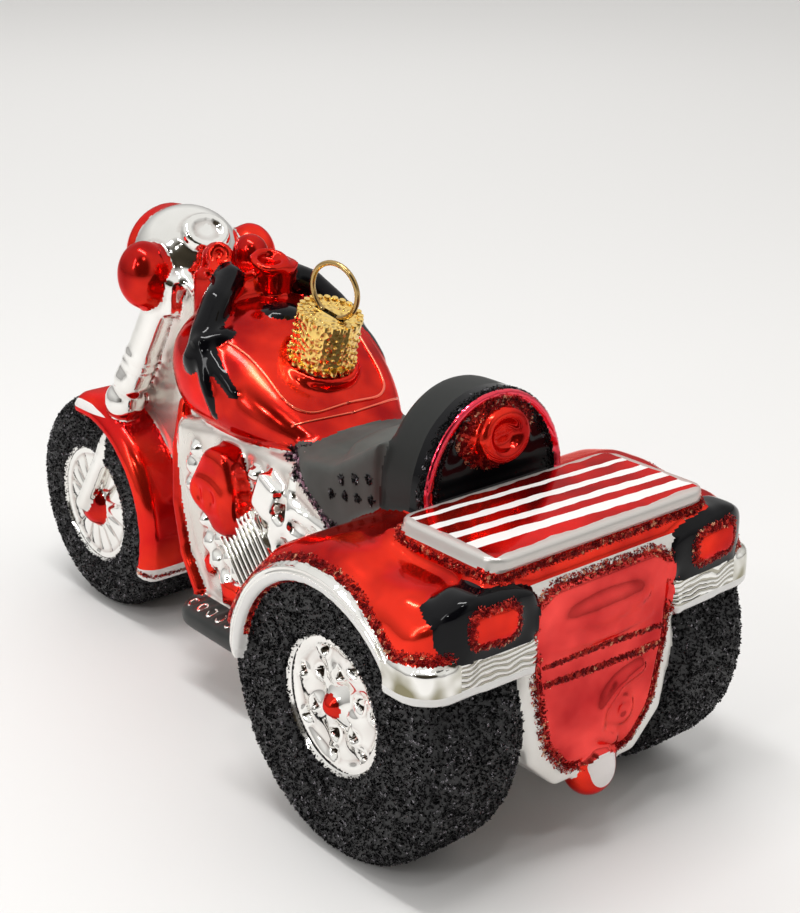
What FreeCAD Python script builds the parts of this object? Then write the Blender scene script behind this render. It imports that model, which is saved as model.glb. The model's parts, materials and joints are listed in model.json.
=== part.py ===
import FreeCAD
import Part

import math
import os
import re

import Sketcher
from FreeCAD import Placement, Rotation, Vector

# Blown-glass tree ornament in the shape of a motorized trike, with a gilt cap
# and a wire hanging loop. Millimetres. The trike's front faces -Y, its left
# side is +X, up is +Z and the origin is under the middle of the whole part.

doc = FreeCAD.newDocument("TrikeOrnament")

SIZES = {
    # wheels, moulded in the glass
    "rear_axle_y": 43.1,
    "rear_tyre_radius": 22.5,
    "rear_rim_radius": 10.4,
    "rear_tyre_inner_x": 13.0,
    "rear_tyre_outer_x": 29.7,
    "hub_radius": 1.7,
    "rear_shoulder": 4.6,
    "rear_outer_shoulder": 3.0,
    "front_axle_y": -47.4,
    "front_tyre_radius": 19.25,
    "front_rim_radius": 10.9,
    "front_half_width": 13.5,
    "front_shoulder": 4.2,
    "front_hub_radius": 3.9,
    "rim_step": 1.2,
    "rim_dish": 1.6,
    # front fender
    "fender_skin": 1.3,
    "front_fender_half_width": 14.6,
    "fender_start_angle": 98.0,
    "fender_end_angle": -28.0,
    "white_edge_angle": 5.0,
    # fork and headlamp
    "fork_elbow_x": 10.5,
    "fork_elbow_y": -38.6,
    "fork_elbow_z": 40.5,
    "fork_top_x": 7.8,
    "fork_top_y": -28.5,
    "fork_top_z": 61.0,
    "fork_foot_stand": 1.7,
    "fork_upper_radius": 2.7,
    "fork_lower_radius": 1.45,
    "web_half_width": 6.4,
    "clamp_half_width": 9.2,
    "lamp_y": -33.2,
    "lamp_z": 64.9,
    "lamp_radius": 8.8,
    "side_lamp_x": 10.4,
    "side_lamp_y": -30.0,
    "side_lamp_z": 64.1,
    "side_lamp_radius": 5.6,
    "grip_radius": 2.3,
    "filler_radius": 3.2,
    "dash_top_z": 66.4,
    # neck, cap and wire
    "neck_tilt": 18.0,
    "neck_y": 3.6,
    "neck_z": 55.9,
    "neck_radius": 4.0,
    "neck_bore": 3.3,
    "cap_radius": 5.0,
    "cap_height": 8.1,
    "cap_wall": 0.45,
    "bead_radius": 0.5,
    "cap_gap": 0.3,
    "cap_room": 0.35,
    "slot_half_length": 2.8,
    "slot_half_width": 0.55,
    "wire_radius": 0.42,
    "ring_radius": 4.3,
    "ring_turn": 14.0,
    "ring_gap_angle": 22.0,
    "leg_spread": 2.5,
    "leg_length": 10.5,
    # tank, seat and back
    "tank_half_width": 16.0,
    "seat_half_width": 14.0,
    "seat_rear_y": 33.6,
    "back_half_width": 12.9,
    "back_top_z": 60.9,
    "back_front_y": 33.0,
    "back_rear_y": 42.9,
    "back_spring_z": 46.5,
    "back_foot_z": 42.0,
    "piping_width": 1.1,
    "piping_rise": 0.7,
    "back_lamp_radius": 5.6,
    "back_lamp_z": 54.8,
    # trunk and tail
    "lid_half_width": 20.0,
    "lid_front_y": 45.4,
    "lid_rear_y": 64.9,
    "lid_top_z": 48.4,
    "lid_thickness": 1.9,
    "trunk_rear_y": 64.2,
    "trunk_half_width": 20.6,
    "fender_inner_x": 12.9,
    "panel_rear_y": 66.65,
    "pillow_rise": 0.7,
    "nub_radius": 4.0,
    # rear fenders
    "rear_fender_radius": 22.9,
    "rear_fender_outer_x": 31.0,
    "arch_radius": 18.0,
    "lip_width": 2.4,
    "lip_inner_x": 29.7,
    "lip_thickness": 2.0,
    "bumper_low_z": 31.4,
    "bumper_high_z": 36.2,
    "pod_rear_y": 65.6,
    "lens_depth": 3.0,
    "lens_rise": 0.7,
    # engine and boards
    "engine_half_width": 12.8,
    "case_rear_y": 48.0,
    "cleaner_outer_x": 17.2,
    "rail_radius": 1.15,
    "cylinder_radius": 6.6,
    "cylinder_x": 7.8,
    "cylinder_foot_z": 24.0,
    "fin_pitch": 2.3,
    "fin_depth": 0.9,
    "board_outer_x": 18.6,
    "board_inner_x": 10.0,
    "board_top_z": 14.2,
    "board_thickness": 3.4,
    "rib_pitch": 3.0,
    "rib_radius": 0.45,
}

sheet = doc.addObject("Spreadsheet::Sheet", "Sizes")
for row, (alias, value) in enumerate(SIZES.items(), start=1):
    sheet.set("A%d" % row, alias)
    sheet.set("B%d" % row, str(value))
    sheet.setAlias("B%d" % row, alias)
doc.recompute()


def size(alias):
    return float(sheet.get(alias))


def linked(expression):
    """Puts the sheet's name before each alias in an expression."""
    return re.sub(r"[a-z][a-z0-9_]*",
                  lambda m: "Sizes." + m.group(0) if m.group(0) in SIZES else m.group(0),
                  str(expression))


def bind(obj, rules):
    for prop, expression in rules.items():
        obj.setExpression(prop, linked(expression))


def place(obj, x=0, y=0, z=0, axis=(0, 0, 1), angle=0.0):
    obj.Placement = Placement(Vector(0, 0, 0), Rotation(Vector(*axis), angle))
    bind(obj, {".Placement.Base.x": x, ".Placement.Base.y": y, ".Placement.Base.z": z})
    return obj


def origin_plane(body, role):
    return [f for f in body.Origin.OriginFeatures if f.Role == role][0]


def outline(sketch, corners):
    """Closed run of lines; each corner is a pair of expressions."""
    doc.recompute()
    values = []
    for pair in corners:
        point = []
        for item in pair:
            point.append(number(item))
        values.append(point)
    count = len(values)
    for i in range(count):
        a, b = values[i], values[(i + 1) % count]
        sketch.addGeometry(Part.LineSegment(Vector(a[0], a[1], 0), Vector(b[0], b[1], 0)), False)
    for i in range(count):
        sketch.addConstraint(Sketcher.Constraint("Coincident", i, 2, (i + 1) % count, 1))
    for i, pair in enumerate(corners):
        for kind, item, value in zip(("DistanceX", "DistanceY"), pair, values[i]):
            n = sketch.addConstraint(Sketcher.Constraint(kind, -1, 1, i, 1, value))
            if not isinstance(item, (int, float)):
                sketch.setExpression("Constraints[%d]" % n, linked(item))


def number(item):
    """Value of an expression, with each alias replaced by its size."""
    if isinstance(item, (int, float)):
        return float(item)
    plain = re.sub(r"[a-z][a-z0-9_]*", lambda m: "(%r)" % size(m.group(0)), item)
    return FreeCAD.Units.parseQuantity(plain).Value


def revolved(name, corners):
    """Solid of revolution round the body's X axis; corners are (along, radius)."""
    body = doc.addObject("PartDesign::Body", name)
    sketch = body.newObject("Sketcher::SketchObject", name + "_profile")
    sketch.AttachmentSupport = [(origin_plane(body, "XY_Plane"), "")]
    sketch.MapMode = "FlatFace"
    outline(sketch, corners)
    doc.recompute()
    turn = body.newObject("PartDesign::Revolution", name + "_turn")
    turn.Profile = sketch
    turn.ReferenceAxis = (sketch, ["H_Axis"])
    turn.Angle = 360.0
    doc.recompute()
    return body


def padded(name, corners, length, plane="XY_Plane"):
    body = doc.addObject("PartDesign::Body", name)
    sketch = body.newObject("Sketcher::SketchObject", name + "_profile")
    sketch.AttachmentSupport = [(origin_plane(body, plane), "")]
    sketch.MapMode = "FlatFace"
    outline(sketch, corners)
    pad = body.newObject("PartDesign::Pad", name + "_pad")
    pad.Profile = sketch
    bind(pad, {"Length": length})
    doc.recompute()
    return body


def body_fillet(body, radius, chooser):
    """Rounds the edges of the body's last feature that the chooser accepts."""
    doc.recompute()
    tip = body.Tip
    edges = ["Edge%d" % (i + 1) for i, e in enumerate(tip.Shape.Edges) if chooser(e)]
    fillet = body.newObject("PartDesign::Fillet", "%s_round%d" % (body.Name, len(body.Group)))
    fillet.Base = (tip, edges)
    bind(fillet, {"Radius": radius})
    doc.recompute()
    return body


def shaped(name, shape):
    """Feature whose shape is set by a function from the sheet's sizes."""
    obj = doc.addObject("Part::Feature", name)
    obj.Shape = shape
    return obj


def fused(name, parts):
    obj = doc.addObject("Part::MultiFuse", name)
    obj.Shapes = parts
    return obj


def together(name, parts):
    obj = doc.addObject("Part::Compound", name)
    obj.Links = parts
    return obj


def mirrored(obj):
    twin = doc.addObject("Part::Mirroring", obj.Name + "_right")
    twin.Source = obj
    twin.Base = (0, 0, 0)
    twin.Normal = (1, 0, 0)
    return twin


def pair(obj):
    return together(obj.Name + "_pair", [obj, mirrored(obj)])


def cut(obj, tool):
    result = doc.addObject("Part::Cut", obj.Name + "_less")
    result.Base = obj
    result.Tool = tool
    return result


def rod(name, a, b, radius):
    """Round rod from point a to point b (plain numbers), its radius bound."""
    a, b = Vector(*a), Vector(*b)
    obj = doc.addObject("Part::Cylinder", name)
    bind(obj, {"Radius": radius})
    obj.Height = (b - a).Length
    obj.Placement = Placement(a, Rotation(Vector(0, 0, 1), b - a))
    return obj


def ball(name, centre, radius, squash=(1, 1, 1)):
    """Ellipsoid; squash holds the factors across, along and up."""
    if squash == (1, 1, 1):
        obj = doc.addObject("Part::Sphere", name)
        bind(obj, {"Radius": radius})
        return place(obj, *centre)
    obj = doc.addObject("Part::Ellipsoid", name)
    bind(obj, {"Radius1": "(%s) * %g" % (radius, squash[2]),
               "Radius2": "(%s) * %g" % (radius, squash[0]),
               "Radius3": "(%s) * %g" % (radius, squash[1])})
    return place(obj, *centre)


def smooth_ring(points):
    curve = Part.BSplineCurve()
    curve.interpolate([Vector(*p) for p in points], PeriodicFlag=True)
    return Part.Wire([curve.toShape()])


def super_section(y, half_width, low, high, power=2.6, steps=12):
    """Rounded section across the trike at one station along its length."""
    middle, reach = (low + high) / 2.0, (high - low) / 2.0
    points = []
    for i in range(steps):
        a = 2 * math.pi * i / steps
        c, s = math.cos(a), math.sin(a)
        px = half_width * math.copysign(abs(c) ** (2 / power), c)
        pz = middle + reach * math.copysign(abs(s) ** (2 / power), s)
        points.append((px, y, pz))
    return smooth_ring(points)


def lofted(stations, power=2.6):
    return Part.makeLoft([super_section(*s, power=power) for s in stations], True, False)


def rounded_prism(points, radii, axis, start, end):
    """Prism along one axis from an outline with rounded corners.

    The outline's pairs are (x, z) for a prism along Y, (y, z) along X and
    (x, y) along Z."""
    def spot(p):
        if axis == "y":
            return Vector(p[0], start, p[1])
        if axis == "x":
            return Vector(start, p[0], p[1])
        return Vector(p[0], p[1], start)

    flat = [Vector(p[0], p[1], 0) for p in points]
    count = len(flat)
    edges, first, last = [], None, None
    for i, corner in enumerate(flat):
        before = (flat[i - 1] - corner).normalize()
        after = (flat[(i + 1) % count] - corner).normalize()
        radius = radii[i] if isinstance(radii, (list, tuple)) else radii
        if radius > 0:
            half = before.getAngle(after) / 2.0
            run = radius / math.tan(half)
            enter, leave = corner + before * run, corner + after * run
            bisector = (before + after).normalize()
            centre = corner + bisector * (radius / math.sin(half))
            middle = centre - bisector * radius
            arc = (enter, middle, leave)
        else:
            enter = leave = corner
            arc = None
        if last is not None and (enter - last).Length > 1e-6:
            edges.append(Part.makeLine(spot(last), spot(enter)))
        if arc:
            edges.append(Part.Arc(spot(arc[0]), spot(arc[1]), spot(arc[2])).toShape())
        if first is None:
            first = enter
        last = leave
    if (first - last).Length > 1e-6:
        edges.append(Part.makeLine(spot(last), spot(first)))
    face = Part.Face(Part.Wire(edges))
    length = end - start
    direction = {"x": Vector(length, 0, 0), "y": Vector(0, length, 0), "z": Vector(0, 0, length)}[axis]
    return face.extrude(direction)


def soften(shape, radius, chooser):
    edges = [e for e in shape.Edges if chooser(e)]
    return shape.makeFillet(radius, edges)


def sound(shape):
    return not shape.isNull() and shape.isValid() and len(shape.Solids) > 0


def nodes_cut(name, raw, tools):
    """Raw form less the forms that it meets, one cut at a time.

    Two curved faces that nearly touch can spoil a cut, which is then made
    with a small tolerance."""
    result = raw
    for i, tool in enumerate(tools):
        if not result.Shape.BoundBox.intersect(tool.Shape.BoundBox):
            continue
        step = doc.addObject("Part::Cut", "%s_seat%d" % (name, i))
        step.Base = result
        step.Tool = tool
        doc.recompute()
        if not sound(step.Shape):
            base_shape = result.Shape
            doc.removeObject(step.Name)
            for tolerance in (0.002, 0.01, 0.03):
                shape = base_shape.cut((tool.Shape,), tolerance)
                if sound(shape):
                    break
            step = shaped("%s_seat%d" % (name, i), shape)
        result = step
    return result


nodes = {}
plain_forms = {}
SPLINTER_SHARE = 0.08


def without_crumbs(name, obj):
    """Drops the loose splinters that a cut leaves beside the form itself."""
    doc.recompute()
    largest = max(s.Volume for s in obj.Shape.Solids)
    whole = [s for s in obj.Shape.Solids if s.Volume > largest * SPLINTER_SHARE]
    if len(whole) == len(obj.Shape.Solids):
        return obj
    return shaped(name + "_whole", Part.makeCompound(whole))


def keep(name, obj, as_tool=None, whole=False):
    """Registers the finished form of one node under its own label.

    The form is cut back by the plain form of each node kept before it, so that
    neighbours in the glass meet face to face without overlapping."""
    doc.recompute()
    tools = [] if whole else list(plain_forms.values())
    plain_forms[name] = as_tool or obj
    obj = without_crumbs(name, nodes_cut(name, obj, tools))
    obj.Label = name
    nodes[name] = obj
    if not sound(obj.Shape):
        raise SystemExit("%s failed: %s" % (name, obj.State))
    print(name, flush=True)
    return obj


# Wheels

def big_circle(limit):
    return lambda e: hasattr(e.Curve, "Radius") and e.Curve.Radius > limit


rear_tyre = revolved("rear_tyre", [
    ("rear_tyre_inner_x", "rear_rim_radius"), ("rear_tyre_inner_x", "rear_tyre_radius"),
    ("rear_tyre_outer_x", "rear_tyre_radius"), ("rear_tyre_outer_x", "rear_rim_radius")])
middle_x = (size("rear_tyre_inner_x") + size("rear_tyre_outer_x")) / 2
body_fillet(rear_tyre, "rear_shoulder", lambda e: big_circle(size("rear_rim_radius") + 1)(e)
            and e.CenterOfMass.x < middle_x)
body_fillet(rear_tyre, "rear_outer_shoulder", lambda e: big_circle(size("rear_tyre_radius") - 0.1)(e)
            and e.CenterOfMass.x > middle_x)
place(rear_tyre, 0, "rear_axle_y", "rear_tyre_radius")
keep("rear_tyres", pair(rear_tyre))

rim_face = "rear_tyre_outer_x - rim_step"
rear_disc = revolved("rear_disc", [
    ("rear_tyre_inner_x", 0), ("rear_tyre_inner_x", "rear_rim_radius"),
    (rim_face, "rear_rim_radius"), (rim_face, "rear_rim_radius - 0.9"),
    (rim_face + " - rim_dish", "rear_rim_radius - 1.6"),
    (rim_face + " - rim_dish - 0.2", "rear_rim_radius * 0.45"),
    (rim_face, "rear_rim_radius * 0.2"), (rim_face, 0)])
place(rear_disc, 0, "rear_axle_y", "rear_tyre_radius")
keep("rear_wheel_discs", pair(rear_disc))

rear_hub = revolved("rear_hub", [
    (rim_face, 0), (rim_face, "hub_radius"), (rim_face + " + 0.8", "hub_radius * 0.85"),
    (rim_face + " + 1.3", "hub_radius * 0.5"), (rim_face + " + 1.5", 0)])
place(rear_hub, 0, "rear_axle_y", "rear_tyre_radius")
keep("rear_hubs", pair(rear_hub))

front_tyre = revolved("front_tyre_form", [
    ("-front_half_width", "front_rim_radius"), ("-front_half_width", "front_tyre_radius"),
    ("front_half_width", "front_tyre_radius"), ("front_half_width", "front_rim_radius")])
body_fillet(front_tyre, "front_shoulder", big_circle(size("front_rim_radius") + 1))
place(front_tyre, 0, "front_axle_y", "front_tyre_radius")
keep("front_tyre", front_tyre)

front_face = "front_half_width - 0.7"
front_disc = revolved("front_disc", [
    ("-(front_half_width - 0.7)", 0), ("-(front_half_width - 0.7)", 3.0),
    ("-(front_half_width - 0.7 - rim_dish)", "front_rim_radius - 1.4"),
    ("-(front_half_width - 0.7)", "front_rim_radius - 0.8"),
    ("-(front_half_width - 0.7)", "front_rim_radius"),
    (front_face, "front_rim_radius"), (front_face, "front_rim_radius - 0.8"),
    ("front_half_width - 0.7 - rim_dish", "front_rim_radius - 1.4"),
    (front_face, 3.0), (front_face, 0)])
place(front_disc, 0, "front_axle_y", "front_tyre_radius")
keep("front_wheel_disc", front_disc)

front_hub = ball("front_hub", ("front_half_width - 0.9", "front_axle_y", "front_tyre_radius"),
                 "front_hub_radius", (0.62, 1.0, 1.0))
keep("front_hubs", pair(front_hub))

# Front fender: a broad blade round the back of the tyre


def ring_sector(centre_y, centre_z, inner, outer, half_width, start, end):
    """Part of a ring round an axle, angles in degrees from the rear, upwards."""
    def at(r, a):
        t = math.radians(a)
        return Vector(-half_width, centre_y + r * math.cos(t), centre_z + r * math.sin(t))

    mid = (start + end) / 2.0
    edges = [Part.Arc(at(inner, start), at(inner, mid), at(inner, end)).toShape(),
             Part.makeLine(at(inner, end), at(outer, end)),
             Part.Arc(at(outer, end), at(outer, mid), at(outer, start)).toShape(),
             Part.makeLine(at(outer, start), at(inner, start))]
    return Part.Face(Part.Wire(edges)).extrude(Vector(2 * half_width, 0, 0))


def front_fender_shape(end_angle):
    r_out = size("front_tyre_radius") + size("fender_skin")
    blade = ring_sector(size("front_axle_y"), size("front_tyre_radius"), 13.5, r_out,
                        size("front_fender_half_width"), size("fender_start_angle"), end_angle)
    rim = [e for e in blade.Edges if hasattr(e.Curve, "Radius") and abs(e.Curve.Radius - r_out) < 0.01]
    blade = blade.makeFillet(3.2, rim)
    # only the part outside of the tyre's own width stays down the sides
    side = ring_sector(size("front_axle_y"), size("front_tyre_radius"), 10.0, 17.2, 40.0, -60.0, 160.0)
    return blade.cut(side)


edge_angle = size("fender_end_angle")
red_end_angle = edge_angle + size("white_edge_angle")
keep("front_fender", shaped("front_fender_form", front_fender_shape(red_end_angle)))
keep("front_fender_edge", shaped("front_fender_edge_form", front_fender_shape(edge_angle)))

# Tank with neck, filler and console

# stations along the tank: y, half width, lowest and highest z
wide = size("tank_half_width")
TANK_STATIONS = [(-24.0, wide * 0.31, 49.0, 56.0), (-21.0, wide * 0.66, 45.5, 60.0),
                 (-15.0, wide * 0.925, 42.5, 62.0), (-7.0, wide, 42.0, 61.5),
                 (1.0, wide * 0.94, 42.0, 57.5), (8.0, wide * 0.75, 43.0, 52.0),
                 (13.0, wide * 0.54, 43.5, 47.8)]

tilt = Rotation(Vector(1, 0, 0), -size("neck_tilt"))
neck_spot = Vector(0, size("neck_y"), size("neck_z"))
neck_place = Placement(neck_spot, tilt)

neck_top = size("cap_height") - size("cap_wall") - size("cap_gap")
neck_low = -(size("leg_length") - size("cap_height")) - 2.6
neck_tube = doc.addObject("Part::Cylinder", "neck_tube")
bind(neck_tube, {"Radius": "neck_radius",
                 "Height": "cap_height - cap_wall - cap_gap + leg_length - cap_height + 3.6"})
neck_tube.Placement = Placement(neck_place.multVec(Vector(0, 0, neck_low - 1.0)), tilt)
neck_hole = doc.addObject("Part::Cylinder", "neck_hole")
bind(neck_hole, {"Radius": "neck_bore", "Height": "cap_height + leg_length"})
neck_hole.Placement = Placement(neck_place.multVec(Vector(0, 0, neck_low)), tilt)
neck_solid = shaped("neck_solid", Part.makeCylinder(
    size("neck_radius"), neck_top - neck_low + 1.0, neck_place.multVec(Vector(0, 0, neck_low - 1.0)),
    tilt.multVec(Vector(0, 0, 1))))
keep("neck", cut(neck_tube, neck_hole), as_tool=neck_solid)

tank_raw = shaped("tank_form", lofted(TANK_STATIONS, 2.4))
filler = ball("filler_form", (0, -7.0, 61.0), "filler_radius", (1.05, 1.0, 0.42))
cap_room = doc.addObject("Part::Cylinder", "cap_room_form")
bind(cap_room, {"Radius": "cap_radius + bead_radius + cap_room", "Height": "cap_height * 2"})
cap_room.Placement = Placement(neck_place.multVec(Vector(0, 0, -size("cap_room"))), tilt)
keep("tank", cut(tank_raw, cap_room))
case_half, case_rear = size("engine_half_width"), size("case_rear_y")
case_shape = rounded_prism([(-19.6, 22.0), (-15.0, 12.5), (-8.0, 8.6), (case_rear, 9.5), (case_rear, 42.5),
                            (-6.0, 45.0), (-20.0, 43.0)],
                           [4.0, 3.0, 3.0, 0.0, 0.0, 3.0, 3.0], "x", -case_half, case_half)
case_shape = soften(case_shape, 2.2, lambda e: abs(abs(e.CenterOfMass.x) - case_half) < 0.01
                    and e.CenterOfMass.y < 40)
case_raw = shaped("case_form", case_shape)
web_half = size("web_half_width")
web_shape = rounded_prism([(-42.0, 30.0), (-16.0, 24.0), (-14.5, 44.0), (-17.0, 62.0), (-33.0, 61.0),
                           (-41.0, 40.0)], 2.0, "x", -web_half, web_half)
web_shape = soften(web_shape, 1.6, lambda e: abs(abs(e.CenterOfMass.x) - web_half) < 0.01)
web_raw = shaped("web_form", web_shape)
keep("engine_case", case_raw)
keep("fork_web", web_raw)
keep("filler_cap", filler)

# Fork legs with covers, flowing round the tyre to the hub

elbow = (size("fork_elbow_x"), size("fork_elbow_y"), size("fork_elbow_z"))
fork_top = (size("fork_top_x"), size("fork_top_y"), size("fork_top_z"))
foot = (size("front_half_width") + size("fork_foot_stand"), size("front_axle_y") + 0.4,
        size("front_tyre_radius") + 1.0)
upper_leg = rod("fork_upper", elbow, fork_top, "fork_upper_radius")
lower_leg = rod("fork_lower", foot, elbow, "fork_lower_radius")
elbow_ball = ball("fork_knob", elbow, "fork_upper_radius * 1.3")
bulge = ball("fork_bulge", (10.2, -36.4, 44.6), 3.1)
foot_ball = ball("fork_foot", foot, "fork_lower_radius * 1.05")
fork_leg = fused("fork_leg", [upper_leg, lower_leg, elbow_ball, bulge, foot_ball])
keep("fork_legs", pair(fork_leg))

# Headlamp, side lamps, clamp

shell = ball("lamp_shell", (0, "lamp_y", "lamp_z"), "lamp_radius", (1.02, 1.06, 1.0))
lamp_face = revolved("lamp_face", [
    (-0.5, 0), (-0.5, "lamp_radius - 0.7"), (-2.8, "lamp_radius - 0.5"), (-4.6, "lamp_radius - 1.6"),
    (-6.0, "lamp_radius * 0.45"), (-6.4, 0)])
place(lamp_face, 0, "lamp_y - 3.2", "lamp_z", (0, 0, 1), 90.0)
keep("headlamp_ring", lamp_face)
keep("headlamp_shell", shell)

side_lamp = ball("side_lamp", ("side_lamp_x", "side_lamp_y", "side_lamp_z"), "side_lamp_radius",
                 (0.8, 0.8, 1.02))
keep("side_lamps", pair(side_lamp))

clamp_half = size("clamp_half_width")
clamp_shape = rounded_prism([(-36.0, 56.6), (-25.4, 57.4), (-24.4, 63.6), (-28.0, 65.8), (-36.0, 63.2)], 1.6,
                            "x", -clamp_half, clamp_half)
clamp_shape = soften(clamp_shape, 1.2, lambda e: abs(abs(e.CenterOfMass.x) - clamp_half) < 0.01)
keep("handlebar_clamp", shaped("clamp_form", clamp_shape))

# Dash block, spiral knob and mirror cups in front of the tank

dash_top = size("dash_top_z")
dash_shape = rounded_prism([(-7.5, -22.0), (7.5, -22.0), (6.0, -12.5), (-6.0, -12.5)], 2.0,
                           "z", 59.0, dash_top)
dash_shape = soften(dash_shape, 1.4, lambda e: e.CenterOfMass.z > dash_top - 0.1)
keep("dash_block", shaped("dash_form", dash_shape))
knob_a = ball("knob_form", (3.0, -19.4, 67.4), 3.1, (0.85, 1.0, 1.0))
knob_b = ball("knob_right", (-3.4, -19.6, 67.6), 3.2, (0.9, 1.0, 1.0))
keep("switch_knobs", together("knob_pair", [knob_a, knob_b]))
cup = doc.addObject("Part::Cone", "cup_form")
cup.Radius1, cup.Radius2, cup.Height = 2.0, 3.6, 7.0
cup.Placement = Placement(Vector(-2.9, -12.6, 61.0), Rotation(Vector(1, 0, 0), -8.0))
keep("mirror_cup", cup)


# Grips: a bent bar in rods and balls, with a knot and two tassels at its end

grip_run = [(4.4, -14.2, 65.8), (9.0, -11.2, 63.4), (12.4, -9.4, 59.6), (14.2, -8.8, 55.6)]
grip_parts = [rod("grip_%d" % i, grip_run[i], grip_run[i + 1], "grip_radius")
              for i in range(len(grip_run) - 1)]
grip_parts += [ball("grip_joint%d" % i, grip_run[i], "grip_radius + 0.02") for i in range(3)]
grip_parts.append(ball("grip_knot", grip_run[3], "grip_radius + 0.3"))
for i, tip in enumerate([(15.3, -7.2, 46.6), (15.0, -1.8, 48.6)]):
    start, end = Vector(*grip_run[3]), Vector(*tip)
    tail = doc.addObject("Part::Cone", "tassel_%d" % i)
    tail.Radius1, tail.Radius2, tail.Height = 1.5, 0.9, (end - start).Length
    tail.Placement = Placement(start, Rotation(Vector(0, 0, 1), end - start))
    grip_parts += [tail, ball("tassel_tip%d" % i, tip, 0.95)]
strap = fused("grip_form", grip_parts)
keep("grips", pair(strap))

# Engine, frame, boards

def finned_cylinder(name, foot_y, lean):
    """Leaning barrel of wide and narrow discs in turn, like cooling fins."""
    pitch = size("fin_pitch")
    slope = Rotation(Vector(1, 0, 0), -lean)
    foot_of_barrel = Vector(size("cylinder_x"), foot_y, size("cylinder_foot_z"))
    barrel = []
    for i in range(7):
        disc = doc.addObject("Part::Cylinder", "%s_fin%d" % (name, i))
        bind(disc, {"Radius": "cylinder_radius" if i % 2 == 0 else "cylinder_radius - fin_depth",
                    "Height": "fin_pitch"})
        disc.Placement = Placement(foot_of_barrel + slope.multVec(Vector(0, 0, pitch * i)), slope)
        barrel.append(disc)
    return fused(name, barrel)


barrels = fused("barrels", [finned_cylinder("barrel_front", 1.0, -24.0),
                            finned_cylinder("barrel_rear", 9.0, 22.0)])
keep("cylinders", pair(barrels))

cleaner_face = size("cleaner_outer_x")
cleaner_shape = rounded_prism([(-9.2, 36.5), (-4.8, 43.0), (0.6, 43.2), (2.8, 36.5), (1.8, 29.4),
                               (-3.0, 28.8)],
                              [3.0, 2.6, 2.6, 3.2, 2.2, 2.6], "x", 10.5, cleaner_face)
cleaner_shape = soften(cleaner_shape, 1.6, lambda e: e.CenterOfMass.x > cleaner_face - 0.1)
keep("air_cleaner", shaped("cleaner_form", cleaner_shape))

rail_run = [(9.6, -20.6, 44.6), (11.7, -19.9, 37.4), (12.8, -18.9, 28.8), (13.2, -16.6, 20.4),
            (13.5, -12.8, 15.2)]
rail_parts = [rod("rail_%d" % i, rail_run[i], rail_run[i + 1], "rail_radius")
              for i in range(len(rail_run) - 1)]
rail_parts += [ball("rail_joint%d" % i, spot, "rail_radius") for i, spot in enumerate(rail_run)]
rail = fused("rail_form", rail_parts)
keep("frame_rails", pair(rail))

board_in, board_out, board_top = size("board_inner_x"), size("board_outer_x"), size("board_top_z")
board_middle = board_top - size("board_thickness") / 2
board_shape = rounded_prism([(board_in, -14.2), (board_out, -13.2), (board_out, 8.0), (board_in, 8.0)],
                            [2.0, 4.6, 2.0, 0.5], "z", board_top - size("board_thickness"), board_top)
board_shape = soften(board_shape, 1.2, lambda e: e.CenterOfMass.x > 12
                     and abs(e.CenterOfMass.z - board_middle) > 1.2)
ribs = []
for i in range(5):
    rib_y = -9.6 + size("rib_pitch") * i
    ribs.append(rod("board_rib%d" % i, (board_in + 3.6, rib_y, board_top),
                    (board_out - 1.3, rib_y, board_top), "rib_radius"))
keep("footboards", pair(fused("board_ribbed", [shaped("board_form", board_shape)] + ribs)))

# Seat: its side view and its plan, with softened rims

seat_rear, seat_half = size("seat_rear_y"), size("seat_half_width")
side_view = rounded_prism([(7.0, 44.4), (7.2, 47.4), (15.5, 46.2), (24.0, 47.6), (seat_rear, 53.6),
                           (seat_rear, 38.2), (22.8, 38.2), (12.6, 45.2)],
                          [1.0, 0.0, 8.0, 8.0, 0.0, 0.0, 2.0, 0.0], "x", -seat_half - 1, seat_half + 1)
plan_view = rounded_prism([(-7.6, 6.0), (7.6, 6.0), (seat_half, 17.0), (seat_half - 0.4, 36.0),
                           (-seat_half + 0.4, 36.0), (-seat_half, 17.0)],
                          [3.0, 3.0, 8.0, 0.0, 0.0, 8.0], "z", 30.0, 60.0)
seat_shape = side_view.common(plan_view)
seat_shape = soften(seat_shape, 1.2, lambda e: abs(e.CenterOfMass.x) > 9 and e.CenterOfMass.z > 46.5
                    and e.CenterOfMass.y < seat_rear - 0.6 and e.Length > 2)

# Back rest, trunk, tail


def arch_curve(y, inset=0.0):
    """Arch of the back rest at one place along the trike, with its points."""
    spring = size("back_spring_z")
    half, rise = size("back_half_width") - inset, size("back_top_z") - spring - inset
    spots = []
    for i in range(9):
        a = math.radians(180.0 * i / 8)
        spots.append(Vector(half * math.cos(a), y, spring + rise * math.sin(a)))
    curve = Part.BSplineCurve()
    curve.interpolate(spots)
    return curve.toShape(), spots


def backrest_shape():
    front, depth = size("back_front_y"), size("back_rear_y") - size("back_front_y")
    curve, spots = arch_curve(front)
    low_left, low_right = (Vector(p.x, front, size("back_foot_z")) for p in (spots[-1], spots[0]))
    wire = Part.Wire([curve, Part.makeLine(spots[-1], low_left), Part.makeLine(low_left, low_right),
                      Part.makeLine(low_right, spots[0])])
    slab = Part.Face(wire).extrude(Vector(0, depth, 0))
    return soften(slab, 2.4, lambda e: abs(e.CenterOfMass.y - front) < 0.01 and e.CenterOfMass.z > 50)


def piping_shape():
    """Raised piping along the arch, on the back rest's rear face."""
    (outer, a), (inner, b) = (arch_curve(size("back_rear_y"), inset) for inset in (0.0, size("piping_width")))
    ends = [Part.makeLine(a[-1], b[-1]), Part.makeLine(b[0], a[0])]
    wire = Part.Wire(Part.__sortEdges__([outer, ends[0], inner, ends[1]]))
    return Part.Face(wire).extrude(Vector(0, size("piping_rise"), 0))


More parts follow.
